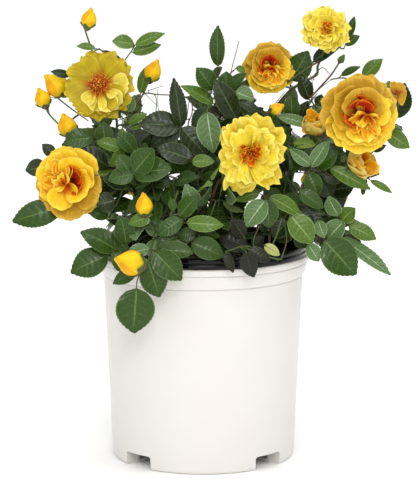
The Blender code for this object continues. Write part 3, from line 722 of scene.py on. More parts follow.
def branch_from_wood(tubes, start, way, radius):
    """Grows a curved twig from the nearest limb to a start point, arriving in a given way."""
    foot, foot_way, foot_radius = wood.nearest(start)
    reach = np.linalg.norm(start - foot)
    out = unit(start - foot)
    first = foot + unit(foot_way + out) * reach * 0.35
    last = start - unit(unit(way) + out) * reach * 0.3
    t = np.linspace(0, 1, max(TWIG_LEAST_STEPS, int(reach / TWIG_STEP)))[:, None]
    line = (1 - t) ** 3 * foot + 3 * t * (1 - t) ** 2 * first + 3 * t * t * (1 - t) * last + t ** 3 * start
    radii = np.linspace(max(radius, min(foot_radius * 0.75, radius * 1.35)), radius, len(line))
    wood.remember(line[1:], radii[1:])
    tubes.add(line, radii, TWIG_SIDES)


front = Front()
stalks = Tubes()
for start, bend, bloom in FLOWER_STALKS.values():
    centre, width, height, facing = bloom_parts(bloom)
    hip = centre - HIP_PLACE * width * facing
    line = curve([start, bend, hip - 0.10 * width * facing, hip], 8)
    branch_from_wood(stalks, line[0], line[1] - line[0], STALK_RADIUS * 1.1)
    radius = STALK_RADIUS * min(1, width / 40)
    stalks.add(line, radius, 8)
    wood.remember(line[:-8], radius)
    swell = np.linspace(0, 1, 9)
    hip_line = hip + np.outer(swell - 0.25, facing) * 0.17 * width
    round_out = np.sin(math.pi * np.clip(swell, 0.04, 0.8) / 0.9) ** 0.8
    stalks.add(hip_line, radius + 0.062 * width * round_out, 12)
    spot = on_front_plane(centre)
    if facing[1] < 0:
        front.note(spot - (0, height * 0.48), spot + (0, height * 0.48), width * 0.96, centre[1])
for start, bend, tip, length, thickness in BUDS.values():
    start, bend, tip = np.array(start), np.array(bend), np.array(tip)
    base = tip - length * unit(tip - bend)
    line = curve([start, bend, base], 9)
    branch_from_wood(stalks, start.astype(float), bend - start, BUD_STALK_RADIUS * 1.25)
    stalks.add(line, np.linspace(BUD_STALK_RADIUS * 1.2, BUD_STALK_RADIUS, len(line)), 7)
    wood.remember(line[:-9], BUD_STALK_RADIUS)
    swell = np.linspace(0, 1, 7)
    round_out = np.sin(math.pi * np.clip(swell, 0.05, 0.85)) ** 0.8
    stalks.add(base + np.outer(swell - 0.45, unit(tip - bend)) * 0.32 * length,
               BUD_STALK_RADIUS + 0.23 * thickness * round_out, 10)
    front.note(on_front_plane(base), on_front_plane(tip), thickness, tip[1])
stalk_green = Finish("flower stalk", paint(104, 118, 58), 0.45)
stalk_green.wear({"Base Color": stalk_green.blend(
    stalk_green.mottle(60, 2, 0.4, 0.62), paint(70, 96, 34), paint(84, 60, 36))})
stalk_green.relief(stalk_green.grain(1400, 3), 0.1, 0.5)
stalks.piece("flower_stalks", stalk_green, "green_cane",
             [name for name in FLOWER_STALKS if name.startswith("stem_")])

# ---------------------------------------------------------------------------------------------
# Roses: loose double heads of soft petals on a green hip. Outer petals lie back and roll their
# rims under, inner ones stand and fold about the heart, which is orange-red at its depth: partly
# the petals' own colour, and partly painted shade where they crowd together.
# ---------------------------------------------------------------------------------------------
PETAL_ROWS = 11
PETAL_COLUMNS = 15
PETAL_SKIN = 0.35
PETAL_STEPS = 60
SWATCHES = 4                 # swatches along each side of a finish's chart
SWATCH_MARGIN = 0.05
FACE_SWATCHES = SWATCHES ** 2 // 2
# The seventh golden tone is a dark red: the heart's orange-red darkened as painted shade, for the petals
# that ring a rose's hollow.
GOLD, AMBER, DEEP, SOFT, PEACH, TANGERINE, HOLLOW_SHADE = range(7)
# Of the lemon tones, the fourth is an olive, partly the rose's own mustard and partly painted shade; the
# fifth is a paler lemon, painted light on the lower petals.
LEMON, LEMON_OUTER, LEMON_HEART, SHADED_OLIVE, LIT_STRAW = range(5)


class Blades:
    """Gathers petals, leaflets or sepals of one grid size into one mesh with a painting chart.

    Each is a closed skin: a grid of points for its face, one for its back, and a narrow rim. The
    chart is painted by a blade's own length and breadth, on sixteen swatches: eight for faces and
    the same eight again for backs.
    """

    def __init__(self, rows, columns):
        self.rows, self.columns = rows, columns
        self.points, self.tones = [], []
        grid = np.arange(rows * columns).reshape(rows, columns)
        low, high = grid[:-1], grid[1:]
        face = np.stack([low[:, :-1], low[:, 1:], high[:, 1:], high[:, :-1]], -1).reshape(-1, 4)
        edge = np.concatenate([grid[0, :-1], grid[:-1, -1], grid[-1, :0:-1], grid[:0:-1, 0]])
        after = np.roll(edge, -1)
        total = rows * columns
        rim = np.stack([edge, edge + total, after + total, after], -1)
        self.faces = np.concatenate([face, face[:, ::-1] + total, rim])
        along, across = np.meshgrid(np.linspace(0, 1, rows), np.linspace(0, 1, columns), indexing="ij")
        spread = SWATCH_MARGIN + (1 - 2 * SWATCH_MARGIN) * np.stack([across, along], -1).reshape(-1, 2)
        inner = spread + (0.5 - spread) * 0.03
        self.chart = np.concatenate([spread[face], spread[face[:, ::-1]],
                                     np.stack([spread[edge], inner[edge], inner[after], spread[after]], 1)])
        self.on_back = np.repeat([0, 1, 0], [len(face), len(face), len(rim)])

    def add(self, grid, thickness, tone):
        """One blade: `grid` holds its face, and its back lies a thickness behind."""
        normal = np.cross(np.gradient(grid, axis=1), np.gradient(grid, axis=0))
        normal /= np.linalg.norm(normal, axis=-1)[..., None] + 1e-12
        back = grid - normal * thickness
        self.points.append(np.concatenate([grid.reshape(-1, 3), back.reshape(-1, 3)]))
        self.tones.append(tone)

    def piece(self, name, finish, slot, stands_for=()):
        count = len(self.points)
        size = 2 * self.rows * self.columns
        faces = (self.faces[None] + size * np.arange(count)[:, None, None]).reshape(-1, 4)
        swatch = np.array(self.tones)[:, None] + FACE_SWATCHES * self.on_back[None]
        corner = np.stack([swatch % SWATCHES, swatch // SWATCHES], -1)[:, :, None]
        chart = (self.chart[None] + corner) / SWATCHES
        made = add_piece(name, np.concatenate(self.points), [faces], finish, slot, stands_for)
        layer = made.data.uv_layers.new(name="OFBake")
        layer.data.foreach_set("uv", chart.astype(np.float32).ravel())
        return made


class Chart:
    """Reads a blade's chart in a finish: which swatch, how far across and how far along."""

    def __init__(self, finish):
        at = finish.node("UVMap", {}, uv_map="OFBake").outputs[0]
        parts = finish.node("SeparateXYZ", {0: finish.node(
            "VectorMath", {0: at, 1: (SWATCHES,) * 3}, operation="MULTIPLY").outputs[0]})
        column, row = (finish.sums("FLOOR", parts.outputs[k]) for k in (0, 1))
        self.at = at
        number = finish.sums("MULTIPLY_ADD", row, SWATCHES, column)
        self.swatch = finish.sums("ADD", finish.sums("DIVIDE", number, SWATCHES ** 2), 0.5 / SWATCHES ** 2)
        self.across = finish.sums("FRACT", parts.outputs[0])
        self.along = finish.sums("FRACT", parts.outputs[1])
        self.from_rib = finish.sums("MULTIPLY", finish.sums("ABSOLUTE", finish.sums(
            "SUBTRACT", self.across, 0.5)), 2 / (1 - 2 * SWATCH_MARGIN))


petal_along = np.linspace(0, 1, PETAL_ROWS)[:, None]
petal_across = np.linspace(-1, 1, PETAL_COLUMNS)[None]


def gone(steps, reach):
    """How far a bent line has gone along one axis at each of its equal steps, from nothing."""
    return np.concatenate([[0], np.cumsum(steps)]) / len(steps) * reach


def petal(chance, reach, breadth, rise, lean, cup=0.12, ruffle=0.02, roll=0.05, fold=0.0, notch=0.03,
          corner=0.19, ragged=0.015, curl=20):
    """One petal's grid, growing out along X from the flower's axis, which is Z.

    Rise and lean are its angles at claw and rim, in degrees above the flower's open face. The rim
    rolls back by curl, and the sides by roll; cup, fold and ruffle are shares of the breadth. The
    rim's corners are cut by corner, and its edge wanders by ragged and dips by notch.
    """
    steps = np.linspace(0, 1, PETAL_STEPS)
    angle = rise + (lean - rise) * steps ** 1.2 - curl * np.clip((steps - 0.72) / 0.28, 0, 1) ** 2
    angle = np.radians(angle)
    out, high = gone(np.cos(angle[1:]), reach), gone(np.sin(angle[1:]), reach)
    u, v = petal_across, petal_along
    swell = np.sin(math.pi / 2 * np.minimum(v / 0.7, 1)) ** 0.95
    side = -breadth / 2 * u * (0.2 + 0.8 * swell) * (1 - 0.14 * np.clip((v - 0.7) / 0.3, 0, 1) ** 2)
    phase = chance.uniform(0, math.tau, 3)
    scallop = ragged * (np.sin(2.6 * u * math.pi + phase[2]) + 0.4 * np.sin(4.7 * u * math.pi + phase[0]))
    scallop = scallop + notch * np.exp(-(u / 0.16) ** 2)
    at = np.clip(v - corner * np.abs(u) ** 2.4 * v ** 3 - (scallop + 0.02) * v ** 8, 0, 1)
    bend = np.interp(at, steps, angle)
    lift = breadth * (cup * u ** 2 + fold * np.abs(u) - roll * np.abs(u) ** 3 * v ** 1.5)
    lift = lift + breadth * ruffle * v ** 2 * (
        np.sin(1.6 * u * math.pi + phase[0]) + 0.5 * np.sin(3.4 * u * math.pi + 2.5 * v + phase[1]))
    x = np.interp(at, steps, out) - np.sin(bend) * lift
    z = np.interp(at, steps, high) + np.cos(bend) * lift
    return np.stack([x, np.broadcast_to(side, x.shape), z], -1)


def facing_rows(way, up=(0, 0, 1)):
    """Across, up and out of a flower that faces a way, as rows."""
    across = unit(np.cross(up, way))
    return np.stack([across, np.cross(way, across), way])


def rose(blades, name, rings, seed, heart=(0.0, 0.0), seat=0.16):
    """Sets rings of petals about a rose's axis, outermost first.

    Each ring says its count, tone, reach and breadth (shares of the rose's width), rise, lean,
    and may add a petal's other shapes, an arc of the ring to fill, and how far it stands forward.
    """
    centre, width, height, facing = bloom_parts(name)
    rows = facing_rows(facing)
    chance = np.random.default_rng(seed)
    foot = centre - seat * width * facing
    for ring in rings:
        ring = dict(ring)
        count, tone, reach, breadth = (ring.pop(key) for key in ("count", "tone", "reach", "breadth"))
        begin, end = ring.pop("arc", (0, 360))
        forward, apart, loose = ring.pop("forward", 0.0), ring.pop("apart", 0.02), ring.pop("loose", 1.0)
        offset = np.array(heart) * ring.pop("follows", 0.0)
        spin = chance.uniform(0, 360) if end - begin == 360 else 0
        for k in range(count):
            degrees = begin + spin + (end - begin) * (k + 0.5) / count + chance.normal(0, 7) * loose
            tall = 1 + (height / width - 1) * abs(math.sin(math.radians(degrees)))
            shape = {key: value * chance.uniform(0.85, 1.15) for key, value in ring.items()}
            shape["lean"] += chance.normal(0, 6) * loose
            shape["rise"] += chance.normal(0, 4) * loose
            grid = petal(chance, reach * width * tall * chance.uniform(0.93, 1.04),
                         breadth * width * chance.uniform(0.9, 1.1), **shape)
            grid = grid + (apart * width, 0, 0)
            skew = math.radians(chance.normal(0, 10) * loose)
            across, up = grid[..., 1].copy(), grid[..., 2].copy()
            grid[..., 1] = across * math.cos(skew) - up * math.sin(skew) * 0.5
            grid[..., 2] = up + across * math.sin(skew) * 0.5
            grid = turned_about_axis(grid, math.radians(degrees))
            grid = grid + (*(offset * width), (forward + chance.uniform(0, 0.015)) * width)
            blades.add(grid @ rows + foot, PETAL_SKIN, tone)


def ring(count, tone, reach, breadth, rise, lean, **shape):
    return dict(count=count, tone=tone, reach=reach, breadth=breadth, rise=rise, lean=lean, **shape)


def petal_finish(name, tones, heart_end=0.54, rim_start=0.72):
    """Soft satin petals: each tone has a heart, body and rim colour, and fine veins lengthwise.

    The heart colour, partly the petals' own orange-red and partly painted shade at their crowded foot,
    fades out by heart_end of the length, and the rim's begins at rim_start.
    """
    tones = [[paint(*card) for card in tone] for tone in tones]
    finish = Finish(name, tones[0][1], 0.5)
    chart = Chart(finish)
    tones = tones + [tones[0]] * (FACE_SWATCHES - len(tones))
    pale = np.array(paint(206, 170, 70))
    backs = [[tuple(0.72 * np.array(colour) + 0.28 * pale) for colour in tone] for tone in tones]
    heart, body, rim = (finish.steps(chart.swatch, [tone[k] for tone in tones + backs]) for k in range(3))
    veins = finish.node("Mapping", {"Vector": chart.at, "Scale": (1.0, 0.12, 1.0)}).outputs[0]
    veins = finish.grain(110, 3, veins, 0.6)
    cloud = finish.grain(17, 3, chart.at)
    ragged = finish.sums("MULTIPLY", finish.sums("SUBTRACT", veins, 0.5), 0.28)
    reached = finish.sums("ADD", chart.along, ragged)
    # Each petal's foot takes the heart colour: partly its own orange-red, and partly painted shade.
    colour = finish.blend(finish.share(reached, heart_end - 0.38, heart_end), heart, body)
    edge = finish.sums("MULTIPLY", finish.share(chart.from_rib, rim_start, 1.0),
                       finish.share(chart.along, 0.3, 0.8))
    edge = finish.sums("MAXIMUM", edge, finish.share(reached, rim_start + 0.02, 0.97))
    colour = finish.blend(finish.sums("MULTIPLY", edge, 0.85), colour, rim)
    shade = finish.share(finish.sums("ADD", veins, cloud), 0.75, 1.25, 0.86, 1.10)
    finish.wear({
        "Base Color": finish.shaded(colour, shade),
        "Roughness": finish.share(cloud, 0.3, 0.7, 0.46, 0.60),
        "Subsurface Weight": 0.2, "Subsurface Radius": (1.0, 0.7, 0.15), "Subsurface Scale": 0.002,
        "Specular IOR Level": 0.2})
    finish.relief(finish.sums("ADD", veins, finish.sums("MULTIPLY", cloud, 0.6)), 0.22, 0.7)
    return finish


gold_finish = petal_finish("golden petals", [
    ((184, 66, 0), (230, 182, 18), (246, 208, 70)),
    ((140, 64, 2), (184, 140, 24), (208, 170, 58)),
    ((146, 16, 0), (222, 146, 6), (244, 196, 50)),
    ((194, 104, 4), (234, 192, 34), (248, 216, 92)),
    ((190, 142, 48), (222, 190, 86), (234, 208, 120)),
    ((180, 66, 0), (228, 156, 6), (246, 198, 44)),
    # the seventh tone, dark red: painted shade for the petals round a hollow
    ((104, 6, 0), (166, 34, 0), (222, 116, 8))], 0.56)
lemon_finish = petal_finish("lemon petals", [
    ((196, 96, 0), (226, 200, 52), (244, 226, 112)),
    ((190, 122, 4), (217, 188, 44), (236, 214, 94)),
    ((120, 12, 0), (202, 78, 2), (234, 176, 34)),
    # fourth tone: olive, partly its own mustard and partly painted shade
    ((178, 40, 0), (172, 148, 12), (190, 168, 40)),
    # fifth tone: paler lemon, painted light
    ((176, 104, 6), (214, 192, 66), (238, 220, 116))], 0.46)

gold_blades = Blades(PETAL_ROWS, PETAL_COLUMNS)
lemon_blades = Blades(PETAL_ROWS, PETAL_COLUMNS)


def double_rings(outer, body, heart, opening):
    """A full golden rose: broad smooth petals outside, and folded ones round a deep open side."""
    return [
        ring(6, outer, 0.50, 0.52, 14, -2, roll=0.09, cup=0.09, curl=30, ruffle=0.03, notch=0.05),
        ring(5, outer, 0.46, 0.48, 30, 8, roll=0.07, cup=0.12, curl=34, ruffle=0.04, loose=1.6,
             forward=0.015),
        ring(5, body, 0.41, 0.42, 46, 24, roll=0.04, cup=0.20, curl=34, loose=1.8, forward=0.02),
        ring(4, body, 0.35, 0.36, 58, 42, cup=0.30, curl=36, loose=2.0, forward=0.02, follows=0.5,
             arc=(opening + 50, opening + 310)),
        ring(8, heart, 0.31, 0.16, 56, 36, fold=0.5, curl=0, loose=2.2, forward=0.03, follows=1,
             arc=(opening + 70, opening + 290)),
        ring(5, heart, 0.23, 0.15, 72, 58, fold=0.4, curl=0, loose=2.4, forward=0.03, follows=1,
             arc=(opening + 30, opening + 330))]


def ruffled_rings(outer, body, heart):
    """A loose lemon rose: wavy petals that open round a ragged orange heart."""
    return [
        ring(6, outer, 0.475, 0.58, 13, -2, ruffle=0.09, roll=0.02, cup=0.06, corner=0.10, ragged=0.045,
             loose=2.2),
        ring(5, body, 0.44, 0.56, 26, 4, ruffle=0.12, roll=0.02, cup=0.08, corner=0.10, ragged=0.04,
             forward=0.015, loose=2.4),
        ring(5, body, 0.40, 0.50, 38, 14, ruffle=0.13, cup=0.10, corner=0.18, ragged=0.03, forward=0.02,
             loose=2.2),
        ring(4, body, 0.32, 0.38, 52, 26, ruffle=0.15, cup=0.12, corner=0.2, ragged=0.03, loose=2.6,
             forward=0.02),
        ring(9, heart, 0.22, 0.13, 56, 38, ruffle=0.2, cup=0.06, fold=0.15, loose=3.0, forward=0.02, curl=0),
        ring(5, heart, 0.16, 0.11, 70, 54, ruffle=0.2, fold=0.2, loose=3.0, forward=0.02, curl=0)]


def single(degrees, tone, reach, breadth, rise, lean, **shape):
    """One petal placed on its own, so many degrees round from the flower's right."""
    return ring(1, tone, reach, breadth, rise, lean, arc=(degrees - 1, degrees + 1), **shape)


def hollow_rose(turn, top, low):
    """A golden rose round a deep red hollow, the red partly painted shade: petals stand behind it,
    and narrow folds fan out before it.

    The hollow lies at 135 degrees plus the turn. Outer petals that point up have the top tone.
    """
    outer = [
        single(turn + degrees, top if 15 < (turn + degrees) % 360 < 185 else low, reach, breadth, rise,
               lean, roll=0.09, cup=0.11, curl=curl, ruffle=0.03, forward=forward)
        for degrees, reach, breadth, rise, lean, curl, forward in (
            (178, 0.50, 0.54, 16, 4, 40, 0), (75, 0.52, 0.50, 12, 6, 30, 0),
            (35, 0.51, 0.50, 14, 4, 36, 0), (-8, 0.49, 0.48, 14, 0, 24, 0),
            (228, 0.51, 0.52, 14, -2, 26, 0), (-44, 0.50, 0.52, 12, -4, 26, 0),
            (118, 0.50, 0.60, 24, 12, 34, 0.02), (272, 0.49, 0.54, 18, -4, 24, 0.03))]
    inner = [
        single(turn + degrees, tone, reach, breadth, rise, lean, cup=cup, curl=curl, forward=forward,
               follows=follows)
        for degrees, tone, reach, breadth, rise, lean, cup, curl, forward, follows in (
            (166, top, 0.44, 0.56, 36, 26, 0.20, 60, 0.03, 0),
            (96, top, 0.40, 0.50, 40, 30, 0.24, 60, 0.05, 0),
            (318, GOLD, 0.45, 0.46, 26, 4, 0.10, 20, 0.05, 0),
            (232, GOLD, 0.44, 0.46, 26, 4, 0.10, 20, 0.05, 0),
            (276, SOFT, 0.42, 0.44, 28, 6, 0.10, 20, 0.06, 0),
            (2, GOLD, 0.42, 0.42, 32, 14, 0.12, 30, 0.06, 0),
            # Dark red petals that ring the hollow: painted shade over the heart's own orange-red.
            (150, HOLLOW_SHADE, 0.30, 0.40, 44, 40, 0.24, 20, 0.04, 0),
            (118, HOLLOW_SHADE, 0.30, 0.36, 50, 46, 0.24, 20, 0.04, 0),
            (186, HOLLOW_SHADE, 0.28, 0.30, 40, 34, 0.20, 20, 0.05, 0),
            (84, HOLLOW_SHADE, 0.26, 0.28, 52, 48, 0.20, 20, 0.05, 0),
            (60, top, 0.28, 0.40, 34, 14, 0.20, 70, 0.07, 1),
            (20, GOLD, 0.28, 0.40, 30, 8, 0.20, 60, 0.08, 1))]
    folds = [single(turn + 188 + 21 * k, DEEP, 0.34 - 0.02 * (k % 2), 0.21, 26, -2, cup=0.0, fold=0.32,
                    curl=10, ruffle=0.12, forward=0.07 + 0.012 * (k % 3), follows=1, apart=0.0)
             for k in range(8)]
    folds += [single(turn + degrees, SOFT, 0.17, 0.20, 30, 10, cup=0.1, fold=0.25, curl=20, ruffle=0.1,
                     forward=0.11, follows=1, apart=0.0) for degrees in (196, 268, 338)]
    return outer + inner + folds


rose(gold_blades, "bloom_right", hollow_rose(0, AMBER, GOLD), 41, heart=(0.06, -0.05))
rose(gold_blades, "bloom_left", hollow_rose(-122, GOLD, AMBER), 42, heart=(-0.07, -0.01))
rose(gold_blades, "bloom_top", hollow_rose(4, AMBER, GOLD), 43, heart=(0.05, -0.05))
rose(gold_blades, "bloom_back_left", double_rings(GOLD, GOLD, DEEP, 60), 44, heart=(-0.03, -0.05))
rose(gold_blades, "bloom_back_right", double_rings(SOFT, GOLD, DEEP, 220), 45, heart=(0.05, 0.04))
rose(lemon_blades, "bloom_centre", ruffled_rings(LEMON_OUTER, LEMON, LEMON_HEART), 46)
rose(lemon_blades, "bloom_top_right", ruffled_rings(LEMON, LEMON, LEMON_HEART), 47)
rose(lemon_blades, "bloom_back", ruffled_rings(LEMON_OUTER, LEMON, LEMON_HEART), 48)
# This rose's outer petals are olive, partly their own mustard and partly painted shade; the paler petals
# below are painted light.
rose(lemon_blades, "bloom_upper_left", [
    ring(7, SHADED_OLIVE, 0.50, 0.50, 8, -2, ruffle=0.06, roll=0.03, cup=0.05, notch=0.09, corner=0.16,
         ragged=0.045, loose=1.3),
    ring(4, SHADED_OLIVE, 0.45, 0.50, 14, 3, ruffle=0.06, roll=0.03, cup=0.06, notch=0.08, corner=0.16,
         ragged=0.045, forward=0.02),
    single(-14, LIT_STRAW, 0.31, 0.38, 14, 8, cup=0.10, curl=36, forward=0.05, apart=0.12),
    single(-42, LIT_STRAW, 0.33, 0.36, 12, 4, cup=0.10, curl=30, forward=0.05, apart=0.11),
    single(-72, LIT_STRAW, 0.31, 0.28, 16, 6, cup=0.12, fold=0.1, curl=30, forward=0.06, apart=0.11),
    single(-100, LIT_STRAW, 0.28, 0.26, 18, 6, cup=0.12, fold=0.1, curl=30, forward=0.06, apart=0.12),
    single(-126, LIT_STRAW, 0.22, 0.20, 22, 12, cup=0.16, fold=0.1, curl=36, forward=0.06, apart=0.12),
    single(-24, LIT_STRAW, 0.20, 0.24, 24, 14, cup=0.14, curl=40, forward=0.07, apart=0.12)], 49)
rose(gold_blades, "half_open_right", [
    single(degrees, PEACH, 0.98, 1.15, 30, 104, cup=0.26, curl=0, notch=0)
    for degrees in (30, 95, 160, 215, 262, 312)]
    + [ring(4, TANGERINE, 0.98, 0.55, 52, 92, cup=0.34, curl=30, loose=1.4, apart=0.08),
       ring(3, DEEP, 0.92, 0.45, 66, 94, cup=0.34, curl=20, loose=1.6),
       single(120, TANGERINE, 1.20, 0.50, 62, 92, cup=0.34, curl=-10)], 50, seat=0.42)
rose(gold_blades, "half_open_low", [
    single(degrees, PEACH, 1.0, 1.0, 32, 102, cup=0.24, curl=0, notch=0)
    for degrees in (92, 150, 205, 255, 310)]
    + [ring(4, TANGERINE, 1.0, 0.52, 52, 84, cup=0.32, curl=50, loose=1.6, apart=0.1),
       ring(3, DEEP, 0.92, 0.42, 68, 92, cup=0.32, curl=20, loose=1.6)], 51, seat=0.42)
rose(gold_blades, "faded_right", [
    single(80, AMBER, 0.56, 0.80, 30, 4, roll=0.06, cup=0.14, curl=30),
    single(205, PEACH, 0.58, 0.84, 26, 0, roll=0.06, cup=0.14, curl=30),
    single(318, AMBER, 0.62, 0.90, 20, -6, roll=0.06, cup=0.14, curl=30)], 52)
gold_blades.piece("golden_blossom", gold_finish, "golden_petals",
                  ["bloom_right", "bloom_left", "bloom_top", "bloom_back_left", "bloom_back_right"])
lemon_blades.piece("lemon_blossom", lemon_finish, "lemon_petals",
                   ["bloom_centre", "bloom_top_right", "bloom_back", "bloom_upper_left"])

# ---------------------------------------------------------------------------------------------
# Stamens: a tuft of thin orange filaments in each lemon rose, every one tipped with a golden
# anther. The tuft springs from one point deep between the petals.
# ---------------------------------------------------------------------------------------------
STAMEN_PLACE = 0.15          # how far behind a rose's middle they start, as a share of the width
FILAMENT_RADIUS = 0.24
ANTHER_RADIUS = 0.5
ANTHER_REACH = 0.62          # half an anther's length
STAMENS = {
    "bloom_upper_left": (130, 0.16), "bloom_centre": (44, 0.11), "bloom_top_right": (40, 0.11),
    "bloom_back": (40, 0.11),
}
filaments, anthers = Tubes(), Tubes()
chance = np.random.default_rng(61)
for bloom, (count, spread) in STAMENS.items():
    centre, width, _, facing = bloom_parts(bloom)
    rows = facing_rows(facing)
    foot = centre - STAMEN_PLACE * width * facing
    for k in range(count):
        turn, away = k * math.tau / GOLDEN ** 2, math.sqrt((k + 0.5) / count) * spread
        tip = np.array((away * math.cos(turn), away * math.sin(turn), 0.13 - away * 0.35)) * width
        tip += chance.normal(0, 0.012, 3) * width
        line = curve([(0, 0, 0), tip * (0.35, 0.35, 0.6), tip], 3) @ rows + foot
        filaments.add(line, FILAMENT_RADIUS, 5)
        head = tip @ rows + foot
        lie = unit(chance.normal(size=3)) * ANTHER_REACH
        anthers.add([head - lie, head - lie * 0.4, head + lie * 0.4, head + lie],
                    (0.16, ANTHER_RADIUS, ANTHER_RADIUS, 0.16), 6)
filament_finish = Finish("filaments", paint(206, 84, 16), 0.6)
filament_finish.wear({"Base Color": filament_finish.blend(
    filament_finish.grain(500, 2), paint(176, 40, 0), paint(220, 104, 8))})
anther_finish = Finish("anthers", paint(166, 88, 16), 0.8)
anther_finish.wear({"Base Color": anther_finish.blend(
    anther_finish.mottle(800, 2, 0.4, 0.6), paint(130, 50, 4), paint(236, 166, 30))})
filaments.piece("filaments", filament_finish, "golden_petals")
anthers.piece("anthers", anther_finish, "golden_petals")

# ---------------------------------------------------------------------------------------------
# Buds: tight teardrops of golden petals, each rolled round the last, their rims flushed with
# orange. Five pointed green sepals clasp the foot of each, as they do behind each open rose.
# ---------------------------------------------------------------------------------------------
SEPAL_ROWS = 9
SEPAL_COLUMNS = 5
SEPALS = 5
SEPAL_SKIN = 0.4
SEPAL_PLACE = 0.245          # how far behind a rose's middle its sepals start, as a share of the width
BUD_ROWS = 15
BUD_PETALS = 4
BUD_SKIN = 0.3
BUD_WAIST = 0.38             # how far up a bud is thickest


def bud_radius(up):
    """A bud's reach, as a share of its thickness, at a share of its length."""
    below = np.sqrt(np.clip(1 - (1 - up / BUD_WAIST) ** 2, 0.01, 1))
    above = np.cos(math.pi / 2 * np.clip((up - BUD_WAIST) / (1 - BUD_WAIST), 0, 1)) ** 1.2
    return 0.5 * np.where(up < BUD_WAIST, below, above) + 0.012


bud_blades = Blades(BUD_ROWS, PETAL_COLUMNS)
sepal_blades = Blades(SEPAL_ROWS, SEPAL_COLUMNS)


def add_sepals(foot, rows, length, breadth, start, opening, curl, chance):
    """Five sepals about an axis: they start so far out, and open by so many degrees."""
    for k in range(SEPALS):
        steps = np.linspace(0, 1, SEPAL_ROWS)
        angle = np.radians(opening + curl * steps ** 1.5 + chance.normal(0, 5))
        reach = length * chance.uniform(0.85, 1.15)
        out, high = start + gone(np.sin(angle[1:]), reach), gone(np.cos(angle[1:]), reach)
        half = breadth / 2 * (np.sin(math.pi * (0.22 + 0.74 * steps ** 0.8)) + 0.03)
        u = np.linspace(-1, 1, SEPAL_COLUMNS)[None]
        side = half[:, None] * u
        x = np.sqrt(np.maximum(out[:, None] ** 2 - side ** 2, (0.55 * out[:, None]) ** 2))
        grid = np.stack([x, side, np.broadcast_to(high[:, None], x.shape)], -1)
        grid = turned_about_axis(grid, math.radians(72 * k + chance.normal(0, 6)))
        sepal_blades.add(grid @ rows + foot, SEPAL_SKIN, k % 2)


chance = np.random.default_rng(71)
for name, (start, bend, tip, length, thickness) in BUDS.items():
    tip = np.array(tip, float)
    way = unit(tip - bend)
    rows = facing_rows(way, (0.2, -1, 0.1))
    foot = tip - length * way
    green = name.startswith("hip")
    for k in range(BUD_PETALS):
        begin, span = chance.uniform(0, 20) + 95 * k + 40, 215 - 8 * k
        u = np.linspace(0, 1, PETAL_COLUMNS)[None]
        v = np.linspace(0.02, 1 - 0.05 * (k == 0) - 0.02 * (k == 1), BUD_ROWS)[:, None]
        rim = v - 0.10 * (np.abs(2 * u - 1) ** 3) * v ** 5
        twist = 34 * v ** 2
        around = np.radians(begin + span * u + twist)
        wrap = 1.05 - 0.02 * k - 0.12 * u * (1 - 0.3 * v)
        reach = thickness * bud_radius(rim) * wrap + 0.35 * (BUD_PETALS - 1 - k) * v ** 8
        grid = np.stack([reach * np.cos(around), reach * np.sin(around), rim * length + 0 * u], -1)
        bud_blades.add(grid @ rows + foot, BUD_SKIN, 2 if green else k % 2)
    for k in range(SEPALS):
        share = 0.31 * chance.uniform(0.7, 1.3) * np.linspace(0, 1, SEPAL_ROWS)[:, None]
        out = thickness * bud_radius(share) * 1.07 + 0.5 + 5 * np.maximum(share - 0.3, 0)
        half = thickness * 0.22 * (np.sin(math.pi * (0.3 + 0.68 * share / share[-1])) + 0.02)
        around = np.radians(72 * k + chance.normal(0, 5))
        around = around + half * np.linspace(-1, 1, SEPAL_COLUMNS)[None] / out
        grid = np.stack([out * np.cos(around), out * np.sin(around), share * length + 0 * around], -1)
        sepal_blades.add(grid @ rows + foot, SEPAL_SKIN, k % 2)
for bloom in BLOOMS:
    centre, width, _, facing = bloom_parts(bloom)
    foot = centre - SEPAL_PLACE * width * facing
    droop = 30 if bloom in ("half_open_right", "half_open_low") else 0
    add_sepals(foot, facing_rows(facing), min(17, width * 0.36), 4.2, width * 0.06, 72 + droop, 22, chance)
bud_finish = petal_finish("bud petals", [
    ((214, 186, 20), (240, 190, 12), (226, 124, 2)),
    # The second tone's pale rim is a painted highlight along the edges of every second bud petal.
    ((212, 176, 16), (236, 164, 4), (252, 220, 90)),
    ((96, 116, 44), (82, 104, 36), (110, 126, 48))], 0.54, 0.86)
bud_blades.piece("bud_petals", bud_finish, "bud_petals", [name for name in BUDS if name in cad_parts])
sepal_finish = Finish("sepals", paint(62, 84, 30), 0.6)
chart = Chart(sepal_finish)
sepal_green = sepal_finish.blend(sepal_finish.share(chart.along, 0.1, 0.95),
                                 paint(74, 96, 34), paint(54, 74, 26))
sepal_finish.wear({"Base Color": sepal_finish.blend(
    sepal_finish.share(chart.from_rib, 0.6, 1.0, 0, 0.6), sepal_green, paint(110, 116, 60))})
sepal_finish.relief(sepal_finish.grain(90, 3, chart.at), 0.15, 0.6)
sepal_blades.piece("sepals", sepal_finish, "green_cane")

# ---------------------------------------------------------------------------------------------
# Leaflets: toothed blades with a pale midrib and slanting side veins, a little folded along the
# rib and quilted between the veins. Faces have a satin gloss, and backs are paler and dull.
# ---------------------------------------------------------------------------------------------
LEAFLET_SKIN = 0.32
TOOTH = 0.42                 # how far a tooth stands out, from notch to point
SIDE_VEINS = 7.5             # pairs of side veins along a leaflet
# Leaflet tones. Light and dark greens are partly the leaves' own colour and partly painted light and painted
# shade; the fourth tone, a paler green with pale veins, is a painted sheen.
TONES = {tone: k for k, tone in enumerate(
    ("mid", "light", "dark", "silver", "brown", "straw", "young", "deep"))}


